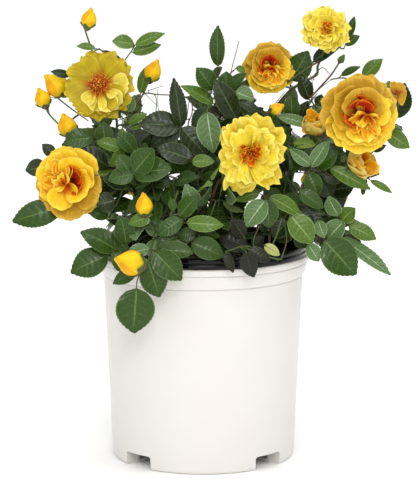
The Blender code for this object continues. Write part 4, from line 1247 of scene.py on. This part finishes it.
def leaflet(blades, base, tip, face, breadth, tone, chance, fold=0.2, arch=0.12):
    """One leaflet from base to tip whose face looks a given way."""
    rows, columns = blades.rows, blades.columns
    v = np.linspace(0, 1, rows)[:, None]
    u = np.linspace(-1, 1, columns)[None]
    u = np.sign(u) * np.abs(u) ** 0.9
    outline = np.sin(math.pi * v ** 0.86) ** (0.56 + 0.32 * v ** 2)
    outline = np.maximum(outline / outline.max(), 0.03)
    base, tip = np.asarray(base, float), np.asarray(tip, float)
    length = np.linalg.norm(tip - base)
    along = (tip - base) / length
    face = unit(face - (face @ along) * along)
    side = np.cross(along, face)
    edge = np.abs(u) > 0.99
    teeth = np.where(np.arange(rows) % 2 == 1, 1.0, 0.0)[:, None]
    x = breadth / 2 * u * outline + np.where(edge, np.sign(u) * (teeth - 0.5) * TOOTH * np.sqrt(outline), 0)
    y = np.minimum(v * length + np.where(edge, teeth * 0.5 * length / rows, 0), length)
    ripple = chance.uniform(0, math.tau, 2)
    quilt = np.sin(math.tau * (5.2 * v - 0.75 * np.abs(u)) + 0.6)
    z = fold * (np.abs(x) - 0.125 * breadth) + arch * length * 2 * v * (1 - v)
    z = z + 0.015 * length * quilt * np.abs(u) * (1.1 - np.abs(u)) * outline
    twist = 0.035 * np.sin(7 * v + ripple[0]) * u * np.abs(u)
    z = z + breadth * (twist + 0.02 * np.sin(4 * v + ripple[1]) * u ** 2)
    grid = base + x[..., None] * side + y[..., None] * along + z[..., None] * face
    blades.add(grid, LEAFLET_SKIN, tone)


leaf_finish = Finish("rose leaves", paint(78, 104, 50), 0.42)
chart = Chart(leaf_finish)
# Face colours by tone, in the order above; the fourth, paler and greyer, is a painted sheen.
leaf_faces = [paint(*card) for card in (
    (44, 71, 13), (76, 104, 30), (29, 44, 12), (88, 116, 68),
    (25, 27, 8), (172, 174, 104), (100, 126, 36), (38, 60, 14))]
# Vein colours by tone; the fourth tone's pale veins belong to its painted sheen.
leaf_veins = [paint(*card) for card in (
    (82, 110, 50), (124, 152, 78), (76, 94, 58), (160, 182, 140),
    (50, 54, 30), (104, 124, 50), (140, 158, 84), (70, 94, 44))]
dull_green = np.array(paint(118, 140, 84))
leaf_backs = [tuple(0.55 * np.array(colour) + 0.45 * dull_green) for colour in leaf_faces]
blade_green = leaf_finish.steps(chart.swatch, leaf_faces + leaf_backs)
vein_green = leaf_finish.steps(chart.swatch, leaf_veins + leaf_veins)
outward = leaf_finish.sums("MULTIPLY", chart.from_rib, -1.25)
slant = leaf_finish.sums("MULTIPLY_ADD", chart.along, SIDE_VEINS, outward)
wander = leaf_finish.sums("MULTIPLY", leaf_finish.grain(14, 2, chart.at), 0.35)
slant = leaf_finish.sums("ADD", slant, wander)
wave = leaf_finish.sums("MULTIPLY", leaf_finish.sums("ABSOLUTE", leaf_finish.sums(
    "SUBTRACT", leaf_finish.sums("FRACT", slant), 0.5)), 2.0)
side_vein = leaf_finish.sums("MULTIPLY", leaf_finish.share(wave, 0.72, 1.0),
                             leaf_finish.share(chart.from_rib, 0.98, 0.4, 0.0, 0.26))
rib_reach = leaf_finish.sums("MULTIPLY_ADD", chart.along, -0.035, 0.062)
rib = leaf_finish.sums("LESS_THAN", chart.from_rib, rib_reach)
vein = leaf_finish.sums("MAXIMUM", side_vein, rib)
leaf_green = leaf_finish.shaded(leaf_finish.blend(vein, blade_green, vein_green),
                                leaf_finish.mottle(70, 4, 0.3, 0.7, 0.80, 1.16, chart.at))
# A thin paler margin round each leaflet: a painted highlight where its edge catches the light.
painted_edge_highlight = leaf_finish.share(chart.from_rib, 0.90, 0.97, 0, 0.8)
on_face = leaf_finish.sums("LESS_THAN", chart.swatch, 0.5)
leaf_finish.wear({
    "Base Color": leaf_finish.blend(painted_edge_highlight, leaf_green, vein_green), "Specular IOR Level": 0.27,
    "Roughness": leaf_finish.sums("MULTIPLY_ADD", on_face, -0.34, leaf_finish.mottle(
        40, 3, 0.3, 0.7, 0.56, 0.74, chart.at))})
leaf_finish.relief(leaf_finish.sums("SUBTRACT", leaf_finish.sums("MULTIPLY", wave, -0.7), vein), 0.22, 0.6)

# ---------------------------------------------------------------------------------------------
# Leaves at the front: sprays laid one by one, each on a green twig from the nearest wood. A spray
# is its tone, its depth, its stalk's places and its leaflets, each by its base, tip and breadth.
# Places are pairs, across and up the front plane.
# ---------------------------------------------------------------------------------------------
# The light and dark sprays below are partly the leaves' own greens and partly painted light and painted
# shade; the glossy pale tone is a painted sheen.
LAID_SPRAYS = [
    # upper left
    ("light", -14, (-62, 314, -56, 322), (-54, 327, -71, 330, 10), (-53, 327, -30, 336, 7.5),
     (-55, 321, -33, 327, 9)),
    ("light", -16, (-81, 324), (-84, 324, -99, 326, 5)),
    ("dark", -14, (-80, 323), (-79, 322, -63, 314, 5)),
    ("dark", -8, (-103, 302), (-104, 303, -119, 306, 6)),
    ("light", -10, (-50, 287), (-49, 289, -44, 310, 8)),
    ("silver", -14, (-61, 273), (-60, 275, -55, 286, 9)),
    ("light", -18, (-59, 264), (-59, 265, -44, 273, 6), (-57, 262, -47, 263, 5)),
    # left
    ("mid", -30, (-83, 252), (-87, 254, -110, 250, 14), (-77, 250, -79, 266, 13)),
    ("dark", -34, (-72, 231), (-75, 231, -99, 247, 12)),
    ("mid", -40, (-52, 242), (-54, 243, -67, 258, 12)),
    ("dark", -42, (-124, 227), (-124, 231, -140, 228, 13), (-117, 239, -126.5, 249, 8.5)),
    ("mid", -48, (-109, 199), (-112, 198.5, -151, 187, 19.5)),
    ("mid", -52, (-74, 191), (-75, 191, -91, 195, 9)),
    ("dark", -60, (-67, 204), (-70, 204, -84, 200, 15)),
    # middle
    ("dark", -30, (-14, 258, -17, 262), (-17, 262, -23, 301, 12), (-18, 263, -51, 265, 18),
     (-18, 262, -41, 247, 15)),
    ("dark", -40, (-14, 258), (-17, 262, 3, 239, 17)),
    ("light", -24, (12, 279), (8, 281, -17, 295, 9)),
    ("mid", -22, (9, 289), (8, 292, -5, 309, 14)),
    ("dark", -34, (5, 278), (4, 277, -9, 261, 10)),
    ("mid", -72, (-85, 224, -66, 226, -55, 226), (-55, 226, -39, 245, 18), (-55, 225, -25, 229, 18),
     (-55, 225, -75, 220, 13), (-59, 228, -67, 240, 12)),
    ("dark", -56, (-6, 235), (-10, 237, -36, 246, 15)),
    ("light", -60, (-10, 235), (-9, 235, 9, 235, 9)),
    ("silver", -46, (3, 275), (3, 274, 8, 242, 17)),
    # top
    ("mid", -6, (12, 301, 11.5, 309), (11.5, 310, 11.5, 342, 11)),
    ("mid", -14, (19, 292), (18, 293, 18, 306, 12), (21, 295, 34, 305, 7)),
    ("light", -10, (24, 307), (26, 309, 33, 306, 5)),
    ("dark", -30, (27, 267), (26, 269, 9, 300, 16)),
    ("silver", -20, (24, 290), (25, 290, 40, 284, 13)),
    ("dark", -26, (26, 284), (27, 283, 46, 273, 7)),
    # upper right
    ("mid", 4, (110, 324), (113, 332, 118, 349, 6), (111, 327, 122, 334, 7)),
    ("mid", 8, (68, 298), (69, 299, 82, 322, 18)),
    ("dark", 4, (84, 312), (86, 314, 106, 327, 9)),
    ("mid", 0, (106, 301), (108, 303, 123, 310, 5)),
    ("light", 2, (123, 299), (125, 301, 140, 316, 10)),
    ("dark", 0, (150, 268), (150, 269, 158, 297, 17)),
    ("light", -8, (143, 260), (144, 258, 162.5, 246, 12)),
    ("dark", 0, (85, 284), (83, 284, 76, 303, 11)),
    ("mid", -10, (70, 267), (70, 269, 69, 288, 12)),
    ("dark", -4, (90, 277), (90, 279, 93, 288, 8), (76, 268, 82, 283, 9)),
    ("silver", -16, (86, 263), (84, 264, 58, 271, 8)),
    # right
    ("silver", -34, (85, 229), (85, 231, 99, 252, 10), (85, 232, 68, 245, 9)),
    ("mid", -30, (89, 228), (90, 230, 106, 243, 12)),
    ("light", -30, (97, 231), (100, 230, 132, 213, 11)),
    ("light", -24, (131, 221), (132, 220, 149, 210, 5)),
    ("mid", -38, (83, 227), (83, 226, 91, 208, 13)),
    ("dark", -20, (114, 228), (116, 228, 139, 225, 9)),
    ("dark", -16, (133, 242), (134, 243, 144, 248, 5)),
    ("deep", 36, (92, 226), (93, 227, 108, 241, 15), (93, 226, 114, 224, 16), (91, 224, 101, 206, 15),
     (90, 226, 80, 240, 13)),
    ("dark", 42, (100, 212), (101, 212, 119, 215, 15), (100, 211, 111, 198, 14), (98, 210, 88, 197, 14),
     (98, 214, 84, 217, 13)),
    ("light", -70, (46, 209), (44, 210, 26, 204, 9)),
    ("silver", -76, (49, 205), (49, 204, 34, 183, 16)),
    ("mid", -72, (49, 205), (50, 204, 52, 182, 15)),
    ("light", -62, (51, 208), (52, 207, 78, 191, 10)),
    ("mid", -50, (76, 211), (76, 211, 95, 198, 11)),
    ("dark", -58, (69, 187), (67, 187, 55, 174, 12)),
    # low right
    ("light", -66, (67, 194), (69, 192, 87, 169.5, 18)),
    ("silver", -56, (81, 171), (83, 169, 92, 155, 11)),
    ("silver", -52, (90, 190), (91, 188, 96, 174, 9)),
    ("mid", -54, (94, 175), (96, 172, 121, 144, 25.5)),
    ("silver", -40, (107, 178), (109, 174, 149, 144, 10.5)),
    ("light", -42, (112, 187), (115, 184, 137, 173, 12), (109, 187, 120, 198, 12)),
    ("silver", -46, (111, 187), (111, 187, 98, 172, 14), (107, 192, 99, 207, 11)),
    # over the lip
    ("brown", -74, (36, 165), (35, 166, 12, 176, 15), (32, 175, 22, 189, 11), (39, 166, 48, 175, 9)),
    ("brown", -94, (29, 167), (18, 163, 24, 146, 7), (34, 163, 40, 142, 12), (36, 165, 53, 155, 10)),
    ("straw", -80, (47, 169), (48.5, 168, 60.5, 160, 7.6)),
    ("deep", -50, (72, 178), (71, 178, 58, 172, 10), (73, 177, 82, 166, 11)),
    ("dark", -46, (60, 184), (59, 184, 46, 178, 10), (61, 183, 70, 172, 9)),
    ("mid", -44, (44, 190), (43, 190, 30, 186, 11), (45, 189, 52, 178, 9)),
    # low middle
    ("mid", -82, (-22, 192), (-17, 189, -36, 176, 12), (-23, 196, -26, 206, 6), (-18, 192, -5, 207, 13)),
    ("light", -86, (-15, 186), (-13, 186, 16, 184, 12)),
    ("mid", -76, (-4, 179), (-6, 178, -20, 175, 10), (-3, 179, 13, 175, 7)),
    ("mid", -80, (-20, 175), (-22, 175, -37, 167, 11)),
    ("mid", -84, (-10, 171), (-9, 170, 16, 159, 16)),
    ("light", -78, (-37, 193), (-40, 192, -59, 185, 10)),
    ("mid", -74, (-60, 168), (-61, 170, -65, 191, 15)),
    # low left
    ("mid", -70, (-66, 163, -72, 162), (-68, 164, -97, 179, 17), (-76, 160, -105.5, 146, 21)),
    ("mid", -96, (-41, 164), (-39, 163, -17, 140, 20), (-44, 155, -35, 126, 20)),
    ("mid", -90, (-37, 164), (-34, 164, -8, 162, 13)),
    ("mid", -98, (-50, 148), (-53, 147, -72, 137, 10)),
    ("mid", -92, (-72, 163), (-71, 162, -63, 148, 9)),
    ("mid", -103, (-51, 145, -53, 137), (-53, 133, -56, 97, 28)),
]
# Bare twigs: depth, thickness and places.
BARE_TWIGS = [
    (-4, 0.8, -119, 289, -104.5, 277.5, -90, 267), (0, 0.4, 84.5, 286, 93, 294, 100, 299.5),
    (-4, 0.45, 13, 282, 20, 300, 28, 330), (-14, 0.55, -36, 288, -20, 287, -6, 284, 9, 274),
    (-12, 0.35, -35, 270, -36, 292), (-12, 0.35, -46, 289, -36, 279), (-10, 0.35, -43, 291, -31, 295),
    (-14, 0.45, -13, 268, -10, 291), (-14, 0.5, -56, 266, -47, 280), (-16, 0.4, -62, 262, -52, 270),
    (2, 0.9, 64, 296, 82, 309, 98, 318, 110, 328), (6, 0.7, 68, 303, 86, 313, 103, 326),
    (0, 0.4, 84, 300, 93, 309, 99, 304), (0, 0.35, 86, 290, 85, 300, 81, 308),
    (-30, 0.5, 46, 270, 54, 278, 64, 290), (-70, 0.7, 50, 158, 58, 176, 62, 190),
    (-66, 0.6, 62, 157, 66, 172, 64, 188), (-74, 0.6, 42, 156, 40, 172, 46, 186),
    (-78, 0.8, -28, 182, -24, 198, -20, 212), (-70, 0.7, -12, 158, -8, 178, -16, 200),
    (-72, 0.7, 8, 160, 4, 182, 10, 204), (-70, 0.6, 20, 160, 24, 184, 18, 206),
]
STALKLET_RADIUS = 0.42       # of the short stalk under each leaflet
SPRAY_RADIUS = 0.5
SPRAY_TWIG_RADIUS = 0.6
STALK_BACK = 7.0             # how far a stalk starts behind its leaflets
FULLER = 1.1                 # how much broader a leaflet is than the outline it is laid by
LAID_ROWS = 27
LAID_COLUMNS = 7
twigs = Tubes()
laid = Blades(LAID_ROWS, LAID_COLUMNS)
chance = np.random.default_rng(81)
FRONT_FACE = np.array((0.0, -0.86, 0.50))


def on_sight_line(place, depth):
    """The point at a depth (Y) that stands at this place of the upright plane for the eye."""
    flat = np.array((place[0], 0.0, place[1]))
    return EYE + (flat - EYE) * (depth - EYE[1]) / -EYE[1]


def spray_distance(spray):
    """How far a spray's stalk starts from the wood, so that the nearest are hung first."""
    start = on_sight_line(spray[2], spray[1] + STALK_BACK)
    return np.linalg.norm(wood.points - start, axis=1).min()


for depth, thickness, *places in BARE_TWIGS:
    line = np.array([on_sight_line(place, depth) for place in zip(places[::2], places[1::2])])
    branch_from_wood(twigs, line[0], line[1] - line[0], thickness)
    line = curve(line, 6)
    twigs.add(line, np.linspace(thickness, thickness * 0.6, len(line)), 6)
    wood.remember(line, thickness)
waiting = list(LAID_SPRAYS)
while waiting:
    spray = min(waiting, key=spray_distance)
    waiting.remove(spray)
    tone, depth, stalk, *leaflets = spray
    stalk = list(zip(stalk[::2], stalk[1::2]))
    line = [on_sight_line(place, depth + STALK_BACK - 4 * k / len(stalk)) for k, place in enumerate(stalk)]
    first_base = on_sight_line(leaflets[0], depth)
    branch_from_wood(twigs, line[0], (line[1] if len(line) > 1 else first_base) - line[0],
                     SPRAY_TWIG_RADIUS)
    if len(line) > 1:
        line = curve(line, 5)
        twigs.add(line, SPRAY_RADIUS, 6)
        wood.remember(line, SPRAY_RADIUS)
    for base_x, base_z, tip_x, tip_z, breadth in leaflets:
        base = on_sight_line((base_x, base_z), depth)
        tip = on_sight_line((tip_x, tip_z), depth + chance.uniform(-3, 1))
        turned = unit(FRONT_FACE + chance.normal(0, 0.16, 3))
        along = unit(tip - base)
        seen_face = unit(turned - (turned @ along) * along)
        toward_eye = unit(EYE - base)
        broad = FULLER * breadth * (1 - depth / EYE[1]) / max(0.7, abs(seen_face @ toward_eye))
        leaflet(laid, base, tip, turned, broad, TONES[tone], chance, chance.uniform(0.12, 0.28),
                chance.uniform(0.06, 0.16))
        near = np.array(line)[np.argmin(np.linalg.norm(np.array(line) - base, axis=1))]
        bend = (near + base) / 2 + (0, 1.0, -0.4)
        twigs.add(curve([near, bend, base, base + along * 1.2], 3), STALKLET_RADIUS, 6)
        front.note((base_x, base_z), (tip_x, tip_z), breadth, depth)

# ---------------------------------------------------------------------------------------------
# Grown leaves: the rest of the foliage. Each leaf of three, five or seven leaflets is drawn by
# chance inside its mass, set back behind the roses and laid sprays it would hide, and hung on a
# twig from the nearest wood. Leaflets that crowd another, fill a gap or touch the pot are dropped.
# ---------------------------------------------------------------------------------------------
# Gaps where the background shows between the leaves: place on the front plane, half sizes.
GAPS = [
    (76, 220, 5, 5), (76, 259, 5, 5), (-50, 264, 5, 4), (-70, 263, 5, 4), (-66, 248, 2, 3), (-18, 254, 2, 4),
    (-4, 265, 4, 7), (-30, 210, 3, 4), (-24, 227, 3, 4), (-59, 204, 3, 6), (3, 200, 3, 3), (19, 204, 2, 4),
    (26, 197, 2, 2), (59, 267, 3, 2), (48, 288, 11, 5), (141, 200, 21, 8), (-34, 277, 7, 7),
    (95, 293, 7, 5), (58, 164, 8, 5), (-88, 175, 8, 7), (-146, 201, 8, 8), (-107, 176, 16, 10),
    (156, 229, 14, 13), (148, 190, 9, 5), (12, 291, 4, 5), (168, 262, 10, 12), (-92, 134, 8, 8),
    (120, 139, 12, 6), (144, 172, 8, 6), (147, 308, 9, 9), (104, 210, 12, 8), (113, 203, 8, 6),
    (98, 219, 6, 4), (-90, 187, 11, 5), (-11, 299, 8, 6), (-20, 132, 9, 7), (141, 184, 9, 6),
    (-96, 268, 7, 5), (98, 307, 10, 7), (-10, 283, 3, 5), (-6, 268, 4, 3), (145, 217, 9, 5),
    (-30, 293, 5, 5), (27, 138, 14, 9), (159, 269, 7, 7), (144, 242, 10, 5), (-84, 140, 7, 7),
    (128, 149, 10, 6), (-133, 180, 8, 5), (-112, 187, 12, 4), (124, 314, 5, 8), (135, 168, 9, 5),
    (-99, 166, 10, 5), (-96, 263, 6, 5), (144, 214, 8, 5),
]
GAP_DEPTH = 500.0            # what stands before a gap, so that nothing can be set back behind it
GROWN_ROWS = 15
GROWN_COLUMNS = 5
LEAF_ROOM = 8.5              # least distance between the middles of two leaflets
POT_ROOM = 2.5
BEHIND = 4.0                 # least distance that a grown leaf keeps behind what stands before it
MOST_SET_BACK = 90.0
FEWEST = 3                   # leaflets that a leaf must keep
TRIES = 1000                 # leaves drawn for each litre of a mass
SMALL_MASS = 0.05            # litres: the least that a mass counts for
MASS_SHARE = {"leaf_hanging_over_rim": 0, "leaves_upper_right": 0.15, "leaves_over_rim": 0.5,
              "leaves_left_tip": 0.3, "leaves_right_tip": 0.3, "leaves_right_drooping": 0.4,
              "leaves_upper_left": 0.5, "leaves_front_left": 0.5}
GROWN_TWIG_RADIUS = 0.55
GROWN_TIP_RADIUS = 0.36
GROWN_GROUPS = ("left", "right", "back_left", "back_right")
BUSH_FOOT = (0, 0, 190)      # leaves point away from here
BUSH_MIDDLE = np.array((0, 0, 215.0))
BUSH_REACH = np.array((125.0, 105.0, 85.0))
for across, height, half_across, half_height in GAPS:
    front.note((across, height - half_height), (across, height + half_height), 2 * half_across, GAP_DEPTH)


def grown_group(mass):
    across, depth, _ = middle(mass)[0]
    return ("back_" if depth > 20 else "") + ("left" if across < 6 else "right")


masses = [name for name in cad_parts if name.startswith("leaf") or name.startswith("leaves")]
grown = {group: Blades(GROWN_ROWS, GROWN_COLUMNS) for group in GROWN_GROUPS}
room = np.array([grid[:len(grid) // 2].mean(0) for grid in laid.points])
extents = {mass: middle(mass) for mass in masses}
chance = np.random.default_rng(91)


def inside_masses(points):
    """Whether each point lies inside some mass of foliage."""
    held = np.zeros(len(points), bool)
    for centre, half in extents.values():
        held |= (((points - centre) / (half * 1.05)) ** 2).sum(1) < 1
    return held


def clear_of_pot(points):
    radius = np.hypot(points[..., 0], points[..., 1])
    over_pot = (points[..., 2] < LIP_TOP + POT_ROOM) & (radius < RIM_RADIUS + POT_ROOM)
    in_mouth = (radius < LIP_RADIUS - 8) & (points[..., 2] > SOIL_LEVEL + 5)
    return ~over_pot | in_mouth


def leaf_plan(base, way, face, length, pairs):
    """A whole leaf: its stalk, and each leaflet's base, tip, face and breadth."""
    side = np.cross(way, face)
    stalk_length = length * (0.28 + 0.12 * pairs)
    t = np.linspace(0, 1, 7)[:, None]
    stalk = base + way * stalk_length * t + face * (-0.10 * stalk_length) * t ** 2
    size = length * (0.52 - 0.05 * pairs)
    plan = []
    for k in range(pairs):
        at = stalk[3 + int(round(3 * k / pairs))] if pairs > 1 else stalk[3]
        scale = 0.78 + 0.16 * k
        for hand in (-1, 1):
            out = unit(way * chance.uniform(0.35, 0.6) + side * hand - face * chance.uniform(-0.05, 0.25))
            start = at + out * size * 0.06
            turned = unit(face + chance.normal(0, 0.22, 3) + side * hand * 0.1)
            plan.append((start, start + out * size * scale, turned,
                         size * scale * chance.uniform(0.56, 0.68)))
    end_way = unit(stalk[-1] - stalk[-2] + chance.normal(0, 0.08, 3) * stalk_length * 0.1)
    plan.append((stalk[-1], stalk[-1] + end_way * size * 1.05, unit(face + chance.normal(0, 0.15, 3)),
                 size * chance.uniform(0.58, 0.70)))
    return stalk, plan


def plan_points(plan):
    """Sample points of each leaflet of a leaf: its base, middle, tip and sides."""
    spots = []
    for start, tip, face, breadth in plan:
        half_side = unit(np.cross(tip - start, face)) * breadth * 0.4
        centre = (start + tip) / 2
        spots.append([start, centre, tip, centre + half_side, centre - half_side])
    return np.array(spots)


# How often each tone is drawn, for leaves inside the bush and for those on its outside. The darker
# tones inside are painted shade, and the lighter and glossier ones outside are painted light.
SHADED = {"dark": 0.42, "deep": 0.34, "mid": 0.18, "brown": 0.06}
SUNLIT = {"mid": 0.34, "deep": 0.20, "dark": 0.14, "light": 0.14, "silver": 0.14, "young": 0.04}


def grow_mass(mass):
    """Draws leaves in one mass until it is full, those nearest its middle first."""
    global room
    centre, half = extents[mass]
    litres = max(SMALL_MASS, 4 / 3 * math.pi * np.prod(half) / 1e6)
    count = int(MASS_SHARE.get(mass, 1.0) * TRIES * litres)
    plans = []
    for k in range(count):
        lift = 1 - 2 * (k + 0.5) / count
        turn = k * math.tau / GOLDEN ** 2 + chance.uniform(-0.4, 0.4)
        level = math.sqrt(1 - lift ** 2)
        way = np.array((math.cos(turn) * level, math.sin(turn) * level, lift))
        place = centre + half * way * chance.uniform(0.05, 1) ** 0.5 * 0.95
        heading = unit(0.6 * unit(place - BUSH_FOOT) + 0.5 * way + chance.normal(0, 0.4, 3) - (0, 0, 0.12))
        outward = unit((0.6 * place[0], place[1] + math.copysign(40, place[1]), 0))
        face = unit(0.55 * np.array((0, 0, 1)) + 0.7 * outward + chance.normal(0, 0.25, 3))
        face = unit(face - (face @ heading) * heading)
        length = chance.uniform(42, 62)
        pairs = int(chance.choice((1, 2, 2, 2, 3)))
        plans.append((np.linalg.norm(place - centre), place - heading * length * 0.5, heading, face,
                      length, pairs))
    for _, base, heading, face, length, pairs in sorted(plans, key=lambda plan: plan[0]):
        stalk, plan = leaf_plan(base, heading, face, length, pairs)
        spots = plan_points(plan)
        needed = front.set_back(spots.reshape(-1, 3), BEHIND).reshape(len(plan), -1).max(1)
        open_sky = needed > MOST_SET_BACK
        back = np.where(open_sky, 0, needed).max()
        shift = unit(base - EYE) * back
        spots, stalk = spots + shift, stalk + shift
        crowded = (np.linalg.norm(room[None] - spots[:, 1][:, None], axis=2) < LEAF_ROOM).any(1)
        fits = ~open_sky & ~crowded & clear_of_pot(spots).all(1) & inside_masses(spots[:, 1])
        if fits.sum() < min(FEWEST, len(plan)) or not clear_of_pot(stalk).all():
            continue
        if front.set_back(stalk, 0.0).max() > 0:
            continue
        plan = [row for row, fitting in zip(plan, fits) if fitting]
        middles = spots[fits, 1]
        room = np.concatenate([room, middles])
        branch_from_wood(twigs, stalk[0], stalk[1] - stalk[0], GROWN_TWIG_RADIUS)
        twigs.add(stalk, np.linspace(GROWN_TWIG_RADIUS, GROWN_TIP_RADIUS, len(stalk)), 5)
        wood.remember(stalk[:4], 0.5)
        # Leaves deep inside the bush take darker tones, as painted shade; those outside take lighter tones
        # and the sheen, as painted light.
        tones = SHADED if np.linalg.norm((middles.mean(0) - BUSH_MIDDLE) / BUSH_REACH) < 0.62 else SUNLIT
        tone = TONES[str(chance.choice(list(tones), p=list(tones.values())))]
        for start, tip, turned, breadth in plan:
            leaflet(grown[grown_group(mass)], start + shift, tip + shift, turned, breadth, tone, chance,
                    chance.uniform(0.1, 0.3), chance.uniform(0.05, 0.2))


for mass in sorted(masses, key=lambda name: np.linalg.norm(wood.points - extents[name][0], axis=1).min()):
    grow_mass(mass)

laid.piece("laid_leaves", leaf_finish, "rose_leaves", ["leaf_hanging_over_rim"])
for group in GROWN_GROUPS:
    members = [mass for mass in masses if grown_group(mass) == group and mass != "leaf_hanging_over_rim"]
    grown[group].piece(f"grown_leaves_{group}", leaf_finish, "rose_leaves", members)
twigs.piece("twigs", stalk_green, "green_cane")

# ---------------------------------------------------------------------------------------------
# Prickles: small hooked thorns of the canes' own bark, reddish brown and broad at the foot, that
# point down along every cane.
# ---------------------------------------------------------------------------------------------
PRICKLE_SPACING = 9.0
PRICKLE_FOOT = 1.7           # a prickle's distance from the middle of its cane
prickles = Tubes()
chance = np.random.default_rng(101)
for line in cane_lines.values():
    run = 0.0
    for before, here in zip(line[4:-3], line[5:-2]):
        run += np.linalg.norm(here - before)
        if run < PRICKLE_SPACING:
            continue
        run = chance.uniform(0, 4)
        way = unit(here - before)
        out = unit(np.cross(way, chance.normal(size=3)))
        foot = here + out * PRICKLE_FOOT
        reach = chance.uniform(1.8, 3.0)
        hook = [foot, foot + out * reach * 0.45 - way * reach * 0.12,
                foot + out * reach * 0.85 - way * reach * 0.5]
        prickles.add(curve(hook, 3), np.linspace(0.85, 0.05, 7) ** 1.3, 7)
prickle_finish = Finish("prickles", paint(150, 92, 62), 0.5)
prickle_finish.wear({"Base Color": prickle_finish.blend(
    prickle_finish.grain(300, 2), paint(128, 66, 46), paint(176, 132, 84))})
prickles.piece("prickles", prickle_finish, "green_cane")

# ---------------------------------------------------------------------------------------------
# Studio: a plain pale floor, three soft lights at the front, behind and overhead, and a pale
# surround that is brightest overhead. The camera stands above the bush and looks down at the pot.
# ---------------------------------------------------------------------------------------------
FLOOR_SIZE = 24.0
SIDE_GLOW = 0.14             # how bright the surround is at the left and right
FRONT_GLOW = 0.60            # how much more at the front and the back
TOP_GLOW = 1.46              # how much more overhead
LOW_GLOW = 0.80              # and how much more in a thin band at eye level
LOW_BAND = 30                # the higher, the thinner that band
LOOKS_DOWN = 9.78            # degrees that the camera points below the level
LENS = 172.5
LIGHT_AIM = Vector((0, 0, 0.2))
bpy.ops.mesh.primitive_plane_add(size=FLOOR_SIZE, location=(0, 0, 0))
floor = bpy.context.object
floor.name = "floor"
floor_finish = Finish("pale floor", paint(252, 252, 252), 0.9)
floor_finish.wear({"Roughness": floor_finish.mottle(2.0, 2, 0, 1, 0.85, 0.95)})
floor.data.materials.append(floor_finish.material)

for name, place, size, power, colour in (
        ("key", (0.1, -2.1, 1.3), 0.8, 17, (1.0, 0.99, 0.965)),
        ("back", (0.9, 2.2, 1.3), 1.0, 10, (0.98, 0.99, 1.0)),
        ("top", (0.1, -0.35, 2.0), 0.55, 5, (1.0, 1.0, 0.99))):
    lamp = bpy.data.lights.new(name, "AREA")
    lamp.shape, lamp.size, lamp.energy, lamp.color = "DISK", size, power, colour
    holder = bpy.data.objects.new(name, lamp)
    holder.location = place
    holder.rotation_euler = (LIGHT_AIM - Vector(place)).to_track_quat("-Z", "Y").to_euler()
    bpy.context.scene.collection.objects.link(holder)

world = bpy.data.worlds.new("surround")
world.use_nodes = True
sky = Pattern(world.node_tree)
direction = sky.node("TexCoord", {}).outputs["Generated"]
squared = sky.node("VectorMath", {0: direction, 1: direction}, operation="MULTIPLY").outputs[0]
even, level = (
    sky.node("VectorMath", {0: squared, 1: shares}, operation="DOT_PRODUCT").outputs["Value"]
    for shares in ((0.0, FRONT_GLOW, TOP_GLOW), (1.0, 1.0, 0.0)))
band = sky.sums("MULTIPLY_ADD", sky.sums("POWER", level, LOW_BAND), LOW_GLOW, SIDE_GLOW)
sky.give(sky.tree.nodes["Background"], {
    "Color": (1.0, 1.0, 1.0, 1.0), "Strength": sky.sums("ADD", even, band)})
bpy.context.scene.world = world
bpy.context.scene.view_settings.view_transform = "Standard"

camera_data = bpy.data.cameras.new("camera")
camera_data.lens = LENS
camera_data.sensor_width = 36.0
camera_data.clip_end = 60.0
camera = bpy.data.objects.new("camera", camera_data)
camera.location = EYE * MM
camera.rotation_euler = (math.radians(90 - LOOKS_DOWN), 0, 0)
bpy.context.scene.collection.objects.link(camera)
bpy.context.scene.camera = camera

bpy.context.view_layer.update()
